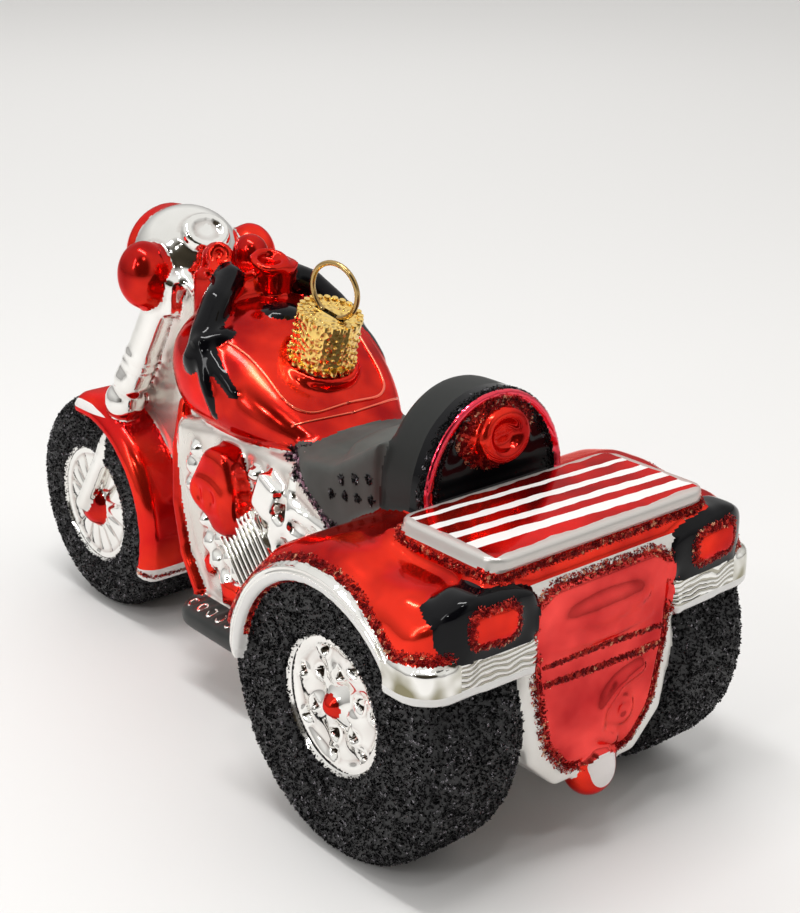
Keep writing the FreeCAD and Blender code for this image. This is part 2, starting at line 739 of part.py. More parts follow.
keep("backrest", shaped("backrest_form", backrest_shape()))
keep("seat", shaped("seat_form", seat_shape))
keep("backrest_piping", shaped("piping_form", piping_shape()))
keep("backrest_lamp", ball("back_lamp", (0, "back_rear_y", "back_lamp_z"), "back_lamp_radius",
                           (1.05, 0.3, 0.72)))

lid = padded("lid_form", [("-lid_half_width", "lid_front_y"), ("lid_half_width", "lid_front_y"),
                          ("lid_half_width", "lid_rear_y"), ("-lid_half_width", "lid_rear_y")],
             "lid_thickness")
body_fillet(lid, 3.2, lambda e: abs(e.Vertexes[0].Z - e.Vertexes[-1].Z) > 1.0)
place(lid, 0, 0, "lid_top_z - lid_thickness")
keep("trunk_lid", lid)

trunk_rear, trunk_half = size("trunk_rear_y"), size("trunk_half_width")
lid_seat = size("lid_top_z") - size("lid_thickness") + 0.1
trunk_shape = rounded_prism([(44.0, lid_seat), (trunk_rear - 0.6, lid_seat), (trunk_rear, 36.0),
                             (trunk_rear - 2.2, 26.0), (44.0, 26.0)], 0.0, "x", -trunk_half, trunk_half)
keep("trunk", shaped("trunk_form", trunk_shape))

tail_shape = rounded_prism([(-14.0, 42.8), (14.0, 42.8), (14.3, 28.0), (12.8, 17.0), (7.6, 12.0),
                            (-7.6, 12.0), (-12.8, 17.0), (-14.3, 28.0)], 1.5, "y", 46.0, 64.6)
keep("rear_body", shaped("tail_form", tail_shape))

panel_face = size("panel_rear_y") - size("pillow_rise")
panel_shape = rounded_prism([(-9.6, 41.8), (9.6, 41.8), (12.8, 39.6), (11.9, 28.5), (9.8, 18.8), (5.6, 14.2),
                             (-5.6, 14.2), (-9.8, 18.8), (-11.9, 28.5), (-12.8, 39.6)],
                            [2.0, 2.0, 2.4, 8.0, 6.0, 3.0, 3.0, 6.0, 8.0, 2.4], "y", 62.0, panel_face)
panel_shape = soften(panel_shape, 0.7, lambda e: abs(e.CenterOfMass.y - panel_face) < 0.01)


def pillow(name, centre, radii):
    """Flat bulge on the panel: an ellipsoid whose crown is the tail's rearmost line."""
    bulge = doc.addObject("Part::Ellipsoid", name)
    bulge.Radius1, bulge.Radius2, bulge.Radius3 = radii[2], radii[0], radii[1]
    return place(bulge, *centre)


pillow_y = "panel_rear_y - 2.4"
panel_relief = fused("panel_relief", [
    shaped("panel_form", panel_shape),
    pillow("pillow_left", (5.4, pillow_y, 36.4), (4.9, 2.4, 3.6)),
    pillow("pillow_right", (-5.4, pillow_y, 36.4), (4.9, 2.4, 3.6)),
    pillow("pillow_low", (0.0, pillow_y, 21.6), (6.2, 2.4, 5.4))])
keep("rear_panel", panel_relief)

nub = ball("nub_form", (0, 63.2, 12.0), "nub_radius", (1.0, 0.9, 1.1))
keep("tail_nub", nub)

# Rear fenders with lips, bumper and tail lamps

fender_r = size("rear_fender_radius")
ay, az = size("rear_axle_y"), size("rear_tyre_radius")
fender_in, fender_out = size("fender_inner_x"), size("rear_fender_outer_x")
fender_points = []
for degrees in range(168, 69, -14):
    t = math.radians(degrees)
    fender_points.append((ay + fender_r * math.cos(t), az + fender_r * math.sin(t)))
fender_points += [(58.0, 44.0), (trunk_rear - 0.6, 41.6), (trunk_rear, 33.4), (52.0, 30.0), (46.0, 26.0)]
fender_shape = rounded_prism(fender_points, 0.0, "x", fender_in, fender_out)
fender_shape = soften(fender_shape, 5.0, lambda e: abs(e.CenterOfMass.x - fender_out) < 0.01
                      and e.CenterOfMass.z > 36.5 and (e.CenterOfMass - Vector(0, ay, az)).Length > 20)
arch_tool = Part.makeCylinder(size("arch_radius"), 9.0, Vector(fender_out - 5.0, ay, az),
                               Vector(1, 0, 0))
fender_shape = fender_shape.cut(arch_tool)
corner_plan = rounded_prism([(10.0, 10.0), (fender_out + 0.2, 10.0), (fender_out + 0.2, trunk_rear + 0.2),
                             (10.0, trunk_rear + 0.2)], [0.0, 0.0, 5.0, 0.0], "z", 20.0, 50.0)
fender_shape = fender_shape.common(corner_plan)
keep("rear_fenders", pair(shaped("fender_form", fender_shape)))

lip_half = size("lip_thickness") / 2
lip_shape = ring_sector(ay, az, size("arch_radius"), size("arch_radius") + size("lip_width"), lip_half,
                        34.0, 174.0)
lip_shape.translate(Vector(size("lip_inner_x") + lip_half, 0, 0))
keep("fender_lips", pair(shaped("lip_form", lip_shape)))

bumper_shape = rounded_prism([(13.2, 57.0), (31.8, 57.0), (31.6, 65.0), (13.2, 66.0)],
                             [0, 0, 5.0, 0], "z", size("bumper_low_z"), size("bumper_high_z"))
keep("bumpers", pair(shaped("bumper_form", bumper_shape)))

pod_rear = size("pod_rear_y")
pod_shape = rounded_prism([(12.8, 36.4), (25.6, 36.6), (28.4, 38.8), (28.0, 43.0), (24.0, 45.2), (15.6, 43.8),
                           (12.8, 42.6)], [1.5, 2.6, 2.0, 2.4, 3.0, 2.0, 1.5], "y", 60.0, pod_rear)
pod_plan = rounded_prism([(10.0, 50.0), (28.8, 50.0), (28.8, pod_rear), (10.0, pod_rear)], [0, 0, 4.6, 0],
                         "z", 30.0, 50.0)
pod_shape = pod_shape.common(pod_plan)
keep("tail_pods", pair(shaped("pod_form", pod_shape)))

lens = padded("lens_form", [(16.6, 38.2), (24.2, 38.6), (24.2, 42.8), (16.6, 42.2)], "lens_depth", "XZ_Plane")
body_fillet(lens, 1.2, lambda e: abs(e.Vertexes[0].Y - e.Vertexes[-1].Y) > 1.0)
place(lens, 0, "pod_rear_y + lens_rise", 0)
keep("tail_lenses", pair(lens))

# Hanger: the gilt cap and its wire

cap_body = revolved("cap_form", [
    (0, "cap_radius - cap_wall"), (0, "cap_radius"), ("cap_height", "cap_radius"), ("cap_height", 0),
    ("cap_height - cap_wall", 0), ("cap_height - cap_wall", "cap_radius - cap_wall")])
cap_body.Placement = Placement(neck_spot, tilt.multiply(Rotation(Vector(0, 1, 0), -90)))
slot = shaped("slot_form", Part.makeBox(
    2 * size("slot_half_width"), 2 * size("slot_half_length"), 3.0,
    Vector(-size("slot_half_width"), -size("slot_half_length"), size("cap_height") - 1.0)))
slot.Placement = Placement(neck_spot, tilt.multiply(Rotation(Vector(0, 0, 1), size("ring_turn"))))


def bead_ring(name, count, ring, along):
    """Row of embossed eight-sided studs round the cap."""
    beads = []
    for i in range(count):
        turn = 2 * math.pi * i / count
        bead = doc.addObject("Part::Prism", "%s_%d" % (name, i))
        bead.Polygon = 8
        bind(bead, {"Circumradius": "bead_radius", "Height": "bead_radius * 1.7"})
        spot = Vector(ring * math.cos(turn), ring * math.sin(turn), along - 0.85 * size("bead_radius"))
        bead.Placement = Placement(neck_place.multVec(spot), tilt)
        beads.append(bead)
    return beads


bead_count = int(round(2 * math.pi * size("cap_radius") / (2.6 * size("bead_radius"))))
rows = bead_ring("top_bead", bead_count, size("cap_radius") - size("bead_radius") * 0.7,
                 size("cap_height") - size("bead_radius") * 0.3)
rows += bead_ring("skirt_bead", bead_count, size("cap_radius") + size("bead_radius") * 0.1,
                  size("bead_radius") * 0.9)
keep("cap", cut(fused("cap_embossed", [cap_body] + rows), slot), whole=True)


def wire_shape():
    wire, ring = size("wire_radius"), size("ring_radius")
    gap_angle = size("ring_gap_angle")
    top = size("cap_height")
    centre = Vector(0, 0, top + ring - 0.35)
    torus = Part.makeTorus(ring, wire, Vector(0, 0, 0), Vector(0, 0, 1), -180, 180, 360 - 2 * gap_angle)
    torus.rotate(Vector(0, 0, 0), Vector(0, 0, 1), -90 + gap_angle)
    torus.rotate(Vector(0, 0, 0), Vector(1, 0, 0), 90)
    torus.rotate(Vector(0, 0, 0), Vector(0, 0, 1), 90)
    torus.translate(centre)
    forms = [torus]
    for side in (-1, 1):
        t = math.radians(gap_angle)
        start = centre + Vector(0, side * ring * math.sin(t), -ring * math.cos(t))
        bend = Vector(0, side * 1.5, top - 1.6)
        tip = Vector(0, side * size("leg_spread"), top - size("leg_length"))
        for a, b in ((start, bend), (bend, tip)):
            forms.append(Part.makeCylinder(wire, (b - a).Length, a, b - a))
        forms += [Part.makeSphere(wire, spot) for spot in (start, bend, tip)]
    return forms[0].fuse(forms[1:])


wire_obj = shaped("wire_form", wire_shape())
wire_obj.Placement = Placement(neck_spot, tilt.multiply(Rotation(Vector(0, 0, 1), size("ring_turn"))))
keep("wire_loop", wire_obj, whole=True)

doc.recompute()
problems = []
for obj in doc.Objects:
    if "Invalid" in obj.State or "Error" in obj.State:
        problems.append("%s is %s" % (obj.Name, obj.State))
for name, obj in nodes.items():
    if obj.Shape.isNull() or not obj.Shape.isValid():
        problems.append(name + " has no valid shape")
if problems:
    raise SystemExit("\n".join(problems))

os.makedirs("parts", exist_ok=True)
for name, obj in nodes.items():
    obj.Shape.exportStep("parts/%s.step" % name)
    bounds = obj.Shape.BoundBox
    print("%-18s solids %d, volume %8.1f, y %6.1f to %6.1f" % (
        name, len(obj.Shape.Solids), obj.Shape.Volume, bounds.YMin, bounds.YMax))
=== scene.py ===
# %% [markdown]
# This lesson dresses a blown-glass tree ornament: a small motorized trike in
# silvered glass, lacquered red, white and black, with a gilt cap and a wire
# ring to hang it by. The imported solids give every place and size. They are
# loaded first, and their box is noted, because nothing that is added may
# make the ornament larger.

# %% Load the solids
import json
import math

import bmesh
import bpy
import numpy as np
from mathutils import Euler, Matrix, Vector
from mathutils.bvhtree import BVHTree

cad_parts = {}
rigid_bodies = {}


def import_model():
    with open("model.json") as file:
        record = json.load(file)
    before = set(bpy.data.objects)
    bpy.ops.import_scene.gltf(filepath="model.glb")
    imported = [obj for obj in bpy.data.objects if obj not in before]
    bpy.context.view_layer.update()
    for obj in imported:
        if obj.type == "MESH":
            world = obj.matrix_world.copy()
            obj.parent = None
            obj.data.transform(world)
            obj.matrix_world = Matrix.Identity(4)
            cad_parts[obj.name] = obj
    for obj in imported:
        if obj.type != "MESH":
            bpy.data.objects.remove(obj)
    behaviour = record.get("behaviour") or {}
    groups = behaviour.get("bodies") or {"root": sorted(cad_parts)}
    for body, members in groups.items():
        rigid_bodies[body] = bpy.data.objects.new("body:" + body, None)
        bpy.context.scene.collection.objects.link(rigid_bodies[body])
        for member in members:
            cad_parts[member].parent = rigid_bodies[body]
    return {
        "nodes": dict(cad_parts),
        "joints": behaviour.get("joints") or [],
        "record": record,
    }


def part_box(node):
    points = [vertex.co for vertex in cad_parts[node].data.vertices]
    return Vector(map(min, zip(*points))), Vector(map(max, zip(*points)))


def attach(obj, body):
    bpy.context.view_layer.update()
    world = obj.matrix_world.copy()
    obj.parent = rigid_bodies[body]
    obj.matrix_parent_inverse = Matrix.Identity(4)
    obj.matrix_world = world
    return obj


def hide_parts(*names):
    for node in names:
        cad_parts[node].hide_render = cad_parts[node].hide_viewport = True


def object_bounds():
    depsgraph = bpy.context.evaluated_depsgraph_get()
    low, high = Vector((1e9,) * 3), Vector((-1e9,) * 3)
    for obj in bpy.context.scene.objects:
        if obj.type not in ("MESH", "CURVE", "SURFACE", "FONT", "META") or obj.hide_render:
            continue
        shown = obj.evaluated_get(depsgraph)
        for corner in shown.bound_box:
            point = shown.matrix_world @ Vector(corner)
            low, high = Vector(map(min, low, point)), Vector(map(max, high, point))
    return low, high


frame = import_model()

MM = 0.001
solids = frame["nodes"]
cad_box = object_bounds()
scene = bpy.context.scene
print("solids:", len(solids), "box:", cad_box)

# %% [markdown]
# A new piece starts as a bmesh, a form that can be spun, cut and bridged. It
# then becomes a mesh, and an object shows the mesh. These functions do the
# steps that every piece needs.

# %% Functions for forms
def put(name, data):
    """A new object in the scene."""
    thing = bpy.data.objects.new(name, data)
    scene.collection.objects.link(thing)
    return thing


def mesh_from(name, form):
    """The mesh of a form, which is used up."""
    mesh = bpy.data.meshes.new(name)
    form.to_mesh(mesh)
    form.free()
    return mesh


def piece_from(name, form, paints, body="glass_body"):
    """A finished piece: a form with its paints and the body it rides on."""
    mesh = mesh_from(name, form)
    for paint in paints:
        mesh.materials.append(finishes[paint])
    mesh.shade_smooth()
    piece = put(name, mesh)
    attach(piece, body)
    print(name, len(mesh.polygons), "faces")


def pour(form, target):
    """Adds one form to another and answers with the new points."""
    mesh = mesh_from("poured", form)
    first = len(target.verts)
    target.from_mesh(mesh)
    bpy.data.meshes.remove(mesh)
    target.verts.ensure_lookup_table()
    return target.verts[first:]


def ring_form(radius, thick, steps, where):
    """Round ring in mm: a small circle spun once about the Z axis, then put in its place."""
    form = bmesh.new()
    section = Matrix.Translation((radius * MM, 0, 0)) @ Euler((math.pi / 2, 0, 0)).to_matrix().to_4x4()
    start = bmesh.ops.create_circle(form, segments=8, radius=thick * MM, matrix=section)["verts"]
    bmesh.ops.spin(form, geom=start + list(form.edges), cent=(0, 0, 0), axis=(0, 0, 1), dvec=(0, 0, 0),
                   angle=2 * math.pi, steps=steps, use_merge=True, use_duplicate=False)
    bmesh.ops.transform(form, matrix=where, verts=form.verts)
    bmesh.ops.recalc_face_normals(form, faces=form.faces)
    return form


def turned_to(axis):
    """The turn that brings the Z axis to another axis."""
    return Vector(axis).to_track_quat("Z", "Y").to_matrix().to_4x4()


def middle_of(node):
    low_corner, high_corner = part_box(node)
    return (Vector(low_corner) + Vector(high_corner)) / 2


print("rear axle at", middle_of("rear_tyres"))

# %% [markdown]
# The camera stands behind the ornament's left side, a little above it, at
# about two hand spans. A long lens keeps the far wheel nearly as large as the
# near one, which is how small things are photographed. The picture is shown
# without a film curve, so that the lacquer keeps its strong red.

# %% Camera
CAMERA_SPOT, CAMERA_LENS = (0.147199, 0.200775, 0.131735), 65.93
CAMERA_AIM = Vector((-0.59658, -0.72204, -0.35035))
camera_data = bpy.data.cameras.new("studio_camera")
camera_data.sensor_fit = "VERTICAL"
camera_data.sensor_height = 36.0
camera_data.lens = CAMERA_LENS
camera_data.clip_start = 0.01
camera = put("studio_camera", camera_data)
camera.location = CAMERA_SPOT
camera.rotation_euler = CAMERA_AIM.to_track_quat("-Z", "Y").to_euler()
scene.camera = camera
scene.view_settings.view_transform = "Standard"
print("camera at", tuple(camera.location))

# %% [markdown]
# A material is a graph of nodes. Each socket takes a link or a constant, and
# these functions take either, so that a graph reads almost like a sum.

# %% Functions for nodes
def feed(tree, value, socket):
    """Links an output to a socket, or sets the socket to a constant."""
    if isinstance(value, bpy.types.NodeSocket):
        tree.links.new(value, socket)
    else:
        socket.default_value = value


def add_node(tree, kind, inputs, **settings):
    """A new node: first its settings, then its inputs by name or number."""
    node = tree.nodes.new(kind)
    for label, value in settings.items():
        setattr(node, label, value)
    for label, value in inputs.items():
        feed(tree, value, node.inputs[label])
    return node


def calc(tree, operation, *terms):
    return add_node(tree, "ShaderNodeMath", dict(enumerate(terms)), operation=operation).outputs[0]


def mix(tree, factor, a, b, data_type="RGBA", blend_type="MIX"):
    """Value a where the factor is 0 and value b where it is 1."""
    node = add_node(tree, "ShaderNodeMix", {}, data_type=data_type, blend_type=blend_type)
    for label, value in (("Factor", factor), ("A", a), ("B", b)):
        feed(tree, value, node.inputs[label])
    return node.outputs["Result"]


def between(tree, value, low_end, high_end):
    """Runs from 0 to 1 as a value goes from one end to the other."""
    inputs = {"Value": value, "From Min": low_end, "From Max": high_end}
    return add_node(tree, "ShaderNodeMapRange", inputs).outputs["Result"]


def colour_ramp(tree, factor, stops, interpolation="LINEAR"):
    """Colours along a scale; stops are pairs of a place and a colour."""
    ramp = add_node(tree, "ShaderNodeValToRGB", {0: factor})
    ramp.color_ramp.interpolation = interpolation
    while len(ramp.color_ramp.elements) < len(stops):
        ramp.color_ramp.elements.new(0.5)
    for element, (position, colour) in zip(ramp.color_ramp.elements, stops):
        element.position = position
        element.color = (*colour, 1)
    return ramp.outputs["Color"]


def shader_of(material):
    return material.node_tree.nodes["Principled BSDF"]


def new_material(name, inputs):
    """A Principled material with constants on some of its sockets."""
    material = bpy.data.materials.new(name)
    material.use_nodes = True
    for label, value in inputs.items():
        shader_of(material).inputs[label].default_value = value
    return material


pale_sheet = new_material("pale_sheet", {"Base Color": (0.80, 0.79, 0.78, 1), "Roughness": 0.55})
print("sockets of a Principled shader:", len(shader_of(pale_sheet).inputs))

# %% [markdown]
# Glass and chrome show the room more than themselves. The ornament stands on
# a plain pale sheet inside a bright tent. One dim patch of the tent, on the
# side of the photographer, gives the mirror parts their dark streaks, and the
# tent gets brighter from the ground up.

# %% Floor and tent
form = bmesh.new()
bmesh.ops.create_grid(form, x_segments=1, y_segments=1, size=4.0)
floor = put("floor", mesh_from("floor", form))
floor.data.materials.append(pale_sheet)

DIM_SIDE = Vector((0.58, 0.68, 0.42)).normalized()
world = bpy.data.worlds.new("light_tent")
scene.world = world
world.use_nodes = True
tree = world.node_tree
direction = tree.nodes.new("ShaderNodeTexCoord").outputs["Generated"]
toward = add_node(tree, "ShaderNodeVectorMath", {0: direction, 1: DIM_SIDE}, operation="DOT_PRODUCT")
dim = colour_ramp(tree, toward.outputs["Value"], [(0.72, (1.0, 1.0, 1.0)), (0.90, (0.06, 0.05, 0.035))])
upward = add_node(tree, "ShaderNodeSeparateXYZ", {0: direction}).outputs["Z"]
rise = colour_ramp(tree, upward, [(0.02, (0.46, 0.45, 0.44)), (0.50, (1.0, 0.995, 0.98))])
tree.links.new(mix(tree, 1.0, dim, rise, blend_type="MULTIPLY"), tree.nodes["Background"].inputs["Color"])
tree.nodes["Background"].inputs["Strength"].default_value = 0.88
print("floor:", tuple(floor.dimensions), "tent nodes:", len(tree.nodes))

# %% [markdown]
# Two long lamps draw the bright bands along the tank and the fenders, and a
# wide one behind the ornament lights the sheet without a mirror image of its
# own. Two tiny lamps leave the small sparks that wet-looking lacquer has.

# %% Lamps
def softbox(name, spot, aim, width, height, power):
    data = bpy.data.lights.new(name, "AREA")
    data.shape = "RECTANGLE"
    data.size, data.size_y = width, height
    data.energy = power
    lamp = put(name, data)
    lamp.location = spot
    lamp.rotation_euler = (Vector(aim) - Vector(spot)).to_track_quat("-Z", "Y").to_euler()
    return lamp


softbox("softbox_over", (0.08, 0.02, 0.60), (0, 0, 0.03), 0.34, 0.05, 1.5)
softbox("softbox_left", (0.60, 0.05, 0.42), (0, 0, 0.03), 0.06, 0.36, 0.60)
behind = softbox("softbox_behind", (-0.35, -0.60, 0.55), (-0.30, -0.55, 0.0), 0.5, 0.4, 0.8)
behind.visible_glossy = False
softbox("spark_high", (0.20, 0.30, 0.55), (0, 0, 0.04), 0.030, 0.030, 0.22)
softbox("spark_side", (0.50, 0.22, 0.42), (0, 0, 0.04), 0.030, 0.030, 0.22)

# %% [markdown]
# The real ornament is one bubble of glass, blown into a mould. Its forms run
# into each other with soft edges and have no gaps between them. The solids
# are separate and sharp, so they are merged here and wrapped in one skin
# further down. Each face remembers the solid that it comes from.

# %% Merge the glass solids
glass = [n for n in frame["record"]["behaviour"]["bodies"]["glass_body"] if n != "neck"]
clay = bmesh.new()
for index, name in enumerate(glass):
    start = len(clay.faces)
    clay.from_mesh(solids[name].data)
    clay.faces.ensure_lookup_table()
    for face in clay.faces[start:]:
        face.material_index = index
bmesh.ops.remove_doubles(clay, verts=clay.verts, dist=1e-7)
print("faces of the solids:", len(clay.faces))

# %% [markdown]
# The mould also holds small relief, which is laid on the solids as lumps of
# clay: balls, blocks, cords and rings. Each lump belongs to the solid it lies
# on, and most have a twin on the ornament's other side.

# %% Lumps of clay
relief = bmesh.new()


def lay(owner, verts, pair):
    """Gives new lumps to a solid, with twins on the right side where there is a pair."""
    faces = list({f for v in verts for f in v.link_faces})
    for face in faces:
        face.material_index = glass.index(owner)
    if pair:
        twins = bmesh.ops.duplicate(relief, geom=faces)["geom"]
        bmesh.ops.scale(relief, vec=(-1, 1, 1), verts=[g for g in twins if isinstance(g, bmesh.types.BMVert)])
        bmesh.ops.reverse_faces(relief, faces=[g for g in twins if isinstance(g, bmesh.types.BMFace)])


def clay_ball(owner, centre, radii, pair=True):
    where = Matrix.Translation(Vector(centre) * MM) @ Matrix.Diagonal((*(Vector(radii) * MM), 1))
    lay(owner, bmesh.ops.create_icosphere(relief, subdivisions=2, radius=1.0, matrix=where)["verts"], pair)


def clay_bar(owner, centre, sizes, lean, soft=0.0):
    """Block turned about the X axis by lean degrees, its edges rounded by soft mm."""
    turn = Euler((math.radians(lean), 0, 0)).to_matrix().to_4x4()
    where = Matrix.Translation(Vector(centre) * MM) @ turn @ Matrix.Diagonal((*(Vector(sizes) * MM), 1))
    verts = bmesh.ops.create_cube(relief, size=1.0, matrix=where)["verts"]
    if soft:
        around = list({e for v in verts for e in v.link_edges})
        verts = bmesh.ops.bevel(relief, geom=around, offset=soft * MM, affect="EDGES", segments=3, profile=0.5,
                                material=-1)["verts"]
    lay(owner, verts, True)


def clay_cord(owner, route, thick, thin=None, pair=True):
    """Round cord along a route, from one radius to another, with a ball at each bend."""
    thin = thick if thin is None else thin
    radii = [thick + (thin - thick) * k / (len(route) - 1) for k in range(len(route))]
    for a, b, ra, rb in zip(route, route[1:], radii, radii[1:]):
        a, b = Vector(a) * MM, Vector(b) * MM
        rod = bmesh.ops.create_cone(relief, cap_ends=True, segments=10, radius1=ra * MM, radius2=rb * MM,
                                    depth=(b - a).length, matrix=Matrix.Translation((a + b) / 2) @ turned_to(b - a))
        lay(owner, rod["verts"], pair)
    for spot, radius in zip(route, radii):
        clay_ball(owner, spot, (radius,) * 3, pair)


def clay_ring(owner, centre, axis, radius, thick, squash=(1, 1, 1), pair=True):
    where = Matrix.Translation(Vector(centre) * MM) @ turned_to(axis) @ Matrix.Diagonal((*squash, 1))
    lay(owner, pour(ring_form(radius, thick, 24, where), relief), pair)


print("solids that can carry relief:", len(glass))

# %% [markdown]
# The engine stands out of the case's flank: a block for the fins, a bright
# cover above it, cast lumps in front, rods behind, and the round lid of the
# air cleaner on the left side only.

# %% Engine relief
engine_x = max(v.co.x for v in solids["engine_case"].data.vertices) / MM
SLOPE, COVER_SLOPE = 49.5, 28
clay_bar("cylinders", (13.7, 4.6, 28.6), (3.0, 8.6, 11.0), -SLOPE)
clay_bar("cylinders", (13.7, 8.7, 38.4), (4.2, 5.0, 6.8), -COVER_SLOPE, soft=0.8)
clay_bar("cylinders", (13.6, 10.4, 33.0), (3.2, 3.2, 6.0), -COVER_SLOPE, soft=0.9)
clay_ball("cylinders", (13.0, 4.4, 40.4), (1.9, 1.8, 1.3))
clay_bar("cylinders", (engine_x, 11.4, 28.2), (3.2, 3.6, 4.0), 12)
for spot, radius in [((-9.5, 24.4), 1.8), ((-6.4, 26.0), 1.5), ((-7.4, 22.0), 1.7), ((-4.2, 23.4), 1.4),
                     ((-10.6, 28.0), 1.3), ((-2.0, 21.4), 1.8), ((-5.4, 19.4), 1.5), ((1.4, 20.2), 1.6),
                     ((-12.2, 31.4), 1.3), ((-13.4, 36.6), 1.9), ((-14.2, 33.2), 1.4), ((-12.4, 39.6), 1.4)]:
    clay_ball("cylinders", (engine_x, *spot), (1.6, radius, radius))
clay_bar("frame_rails", (engine_x + 0.3, -3.0, 17.4), (2.4, 4.6, 3.6), 4)
clay_bar("frame_rails", (engine_x + 0.2, -9.4, 20.6), (2.0, 2.0, 2.8), 20)
clay_cord("cylinders", [(12.9, 13.4, 42.6), (13.1, 13.3, 40.2), (14.4, 14.2, 37.6), (14.3, 13.2, 34.6)], 0.6)
clay_cord("cylinders", [(engine_x, 15.0, 37.4), (engine_x, 21.4, 36.4), (engine_x, 15.4, 31.0),
                        (engine_x, 15.0, 37.4)], 0.8)
clay_ring("air_cleaner", (17.3, -3.6, 35.4), (1, 0, 0), 2.5, 0.75, (1.5, 0.95, 1), pair=False)
clay_ball("air_cleaner", (17.3, -3.6, 35.4), (0.9, 1.0, 1.7), pair=False)
print("faces of relief:", len(relief.faces))

# %% [markdown]
# The wheel arch has a round bead along its lip, the fork legs have rings like
# the coils of a spring, and the headlamp has a rimmed eye on top and a
# bracket below. The little ring and hook behind it are the switches.

# %% Arch, fork and headlamp relief
axle = middle_of("rear_tyres") / MM
lip_high = Vector(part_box("fender_lips")[1]) / MM
reach = lip_high.z - axle.z - 0.9
arch_route = [(lip_high.x - 1.0, axle.y + reach * math.cos(a), axle.z + reach * math.sin(a))
              for a in np.radians(np.arange(38, 180, 10))]
clay_cord("fender_lips", arch_route, 0.85)

elbow, crown = Vector((10.5, -38.6, 40.5)), Vector((7.8, -28.5, 61.0))
for share in (0.20, 0.28, 0.36, 0.44):
    clay_ring("fork_legs", elbow.lerp(crown, share), crown - elbow, 2.6, 0.5)
clay_ring("headlamp_shell", (0.6, -26.3, 70.6), (0.06, 0.75, 0.66), 2.7, 0.75, (1.25, 1.0, 1), pair=False)
for k in range(3):
    clay_ring("headlamp_shell", (0, -26.6 + 1.7 * k, 65.4 - 1.5 * k), (0, 0.66, 0.75), 6.0, 0.65, pair=False)
clay_ring("switch_knobs", (4.4, -16.9, 69.0), (0.6, 0.72, 0.35), 1.5, 0.75, pair=False)
clay_cord("switch_knobs", [(5.6, -16.6, 67.4), (7.6, -15.6, 66.6), (8.6, -14.4, 67.6)], 1.0, 0.6, pair=False)
clay_ring("mirror_cup", (-1.2, -11.2, 68.3), (0.1, 0.35, 0.93), 2.5, 0.75, pair=False)
print("faces of relief:", len(relief.faces))

# %% [markdown]
# Each grip ends in two tails of black lacquer that run down the tank. The
# neck stands in a collar, the lamp of the back rest has a rim, the tail panel
# has a handle and a scroll, and the seat is padded.

# %% Grip, tank, panel and seat relief
clay_cord("grips", [(10.6, -6.1, 59.3), (14.3, -7.6, 58.4)], 1.3, 1.7)
clay_cord("grips", [(14.7, -6.9, 57.2), (15.8, -4.8, 53.6), (15.9, -3.4, 50.8), (15.3, -3.0, 48.4)], 1.3, 0.75)
clay_cord("grips", [(13.9, -6.2, 57.2), (14.5, -2.4, 54.7), (14.3, 0.9, 52.3)], 1.2, 0.8)
neck_axis = Vector(frame["joints"][0]["axis"])
neck_foot = Vector((0, 3.6, 55.9))
clay_ring("tank", neck_foot - neck_axis * 1.0, neck_axis, 5.3, 0.95, pair=False)
lamp_rim = middle_of("backrest_lamp") / MM + Vector((0, 1.2, 0))
clay_ring("backrest_lamp", lamp_rim, (0, 1, 0.1), 3.1, 1.0, (1.15, 1.0, 1), pair=False)
clay_ball("rear_panel", (0, 66.0, 36.4), (8.8, 1.4, 2.5), pair=False)
clay_ball("rear_panel", (0, 66.0, 33.4), (10.4, 0.9, 1.6), pair=False)
scroll = [(-7.0, 66.2, 25.6), (-2.5, 66.4, 24.6), (1.0, 66.4, 21.6), (0.8, 66.3, 18.0), (-2.2, 66.2, 16.2)]
clay_cord("rear_panel", scroll, 0.9, pair=False)
clay_ring("rear_panel", (-3.4, 66.2, 20.4), (0, 1, 0), 1.7, 0.7, pair=False)
clay_ball("seat", (0, 17.5, 45.3), (13.0, 8.0, 2.7), pair=False)
clay_ball("seat", (0, 26.5, 47.8), (12.6, 7.5, 3.0), pair=False)
print("faces of relief:", len(relief.faces))

# %% [markdown]
# Now the solids and their relief are wrapped in one closed skin, as if glass
# was blown over them. The remesh modifier does that on a fine grid. The size
# of its cells sets how small a detail survives.

# %% Wrap them in one skin
SKIN_CELL = 0.42 * MM
pour(relief, clay)
clay_tree = BVHTree.FromBMesh(clay)
clay.faces.ensure_lookup_table()
owner_of_face = [f.material_index for f in clay.faces]
clay_object = put("clay", mesh_from("clay", clay))
remesh = clay_object.modifiers.new("wrap", "REMESH")
remesh.mode = "VOXEL"
remesh.voxel_size = SKIN_CELL
bpy.context.view_layer.update()
skin = bpy.data.meshes.new_from_object(clay_object.evaluated_get(bpy.context.evaluated_depsgraph_get()))
bpy.data.objects.remove(clay_object)
print("skin:", len(skin.vertices), "points")

# %% [markdown]
# Every face of the skin asks for the nearest solid, and then its neighbours
# vote, which clears stray specks. The border between two zones still follows
# the grid in small steps. Pushing the border points together and then apart
# again evens out the steps and keeps small shapes their size. Then the whole
# skin is relaxed, which rounds it as glass rounds in a mould.

# %% Zones and smoothing
def read(collection, key, width, kind=np.float64):
    values = np.empty(len(collection) * width, kind)
    collection.foreach_get(key, values)
    return values.reshape(-1, width) if width > 1 else values


def relax(points, edges, weight):
    """Moves each point towards the middle of its neighbours, or away for a negative weight."""
    count = len(points)
    degree = np.maximum(np.bincount(edges.ravel(), minlength=count), 1)
    sums = np.empty_like(points)
    for k in range(3):
        sums[:, k] = (np.bincount(edges[:, 0], points[edges[:, 1], k], count)
                      + np.bincount(edges[:, 1], points[edges[:, 0], k], count))
    return points + weight[:, None] * (sums / degree[:, None] - points)


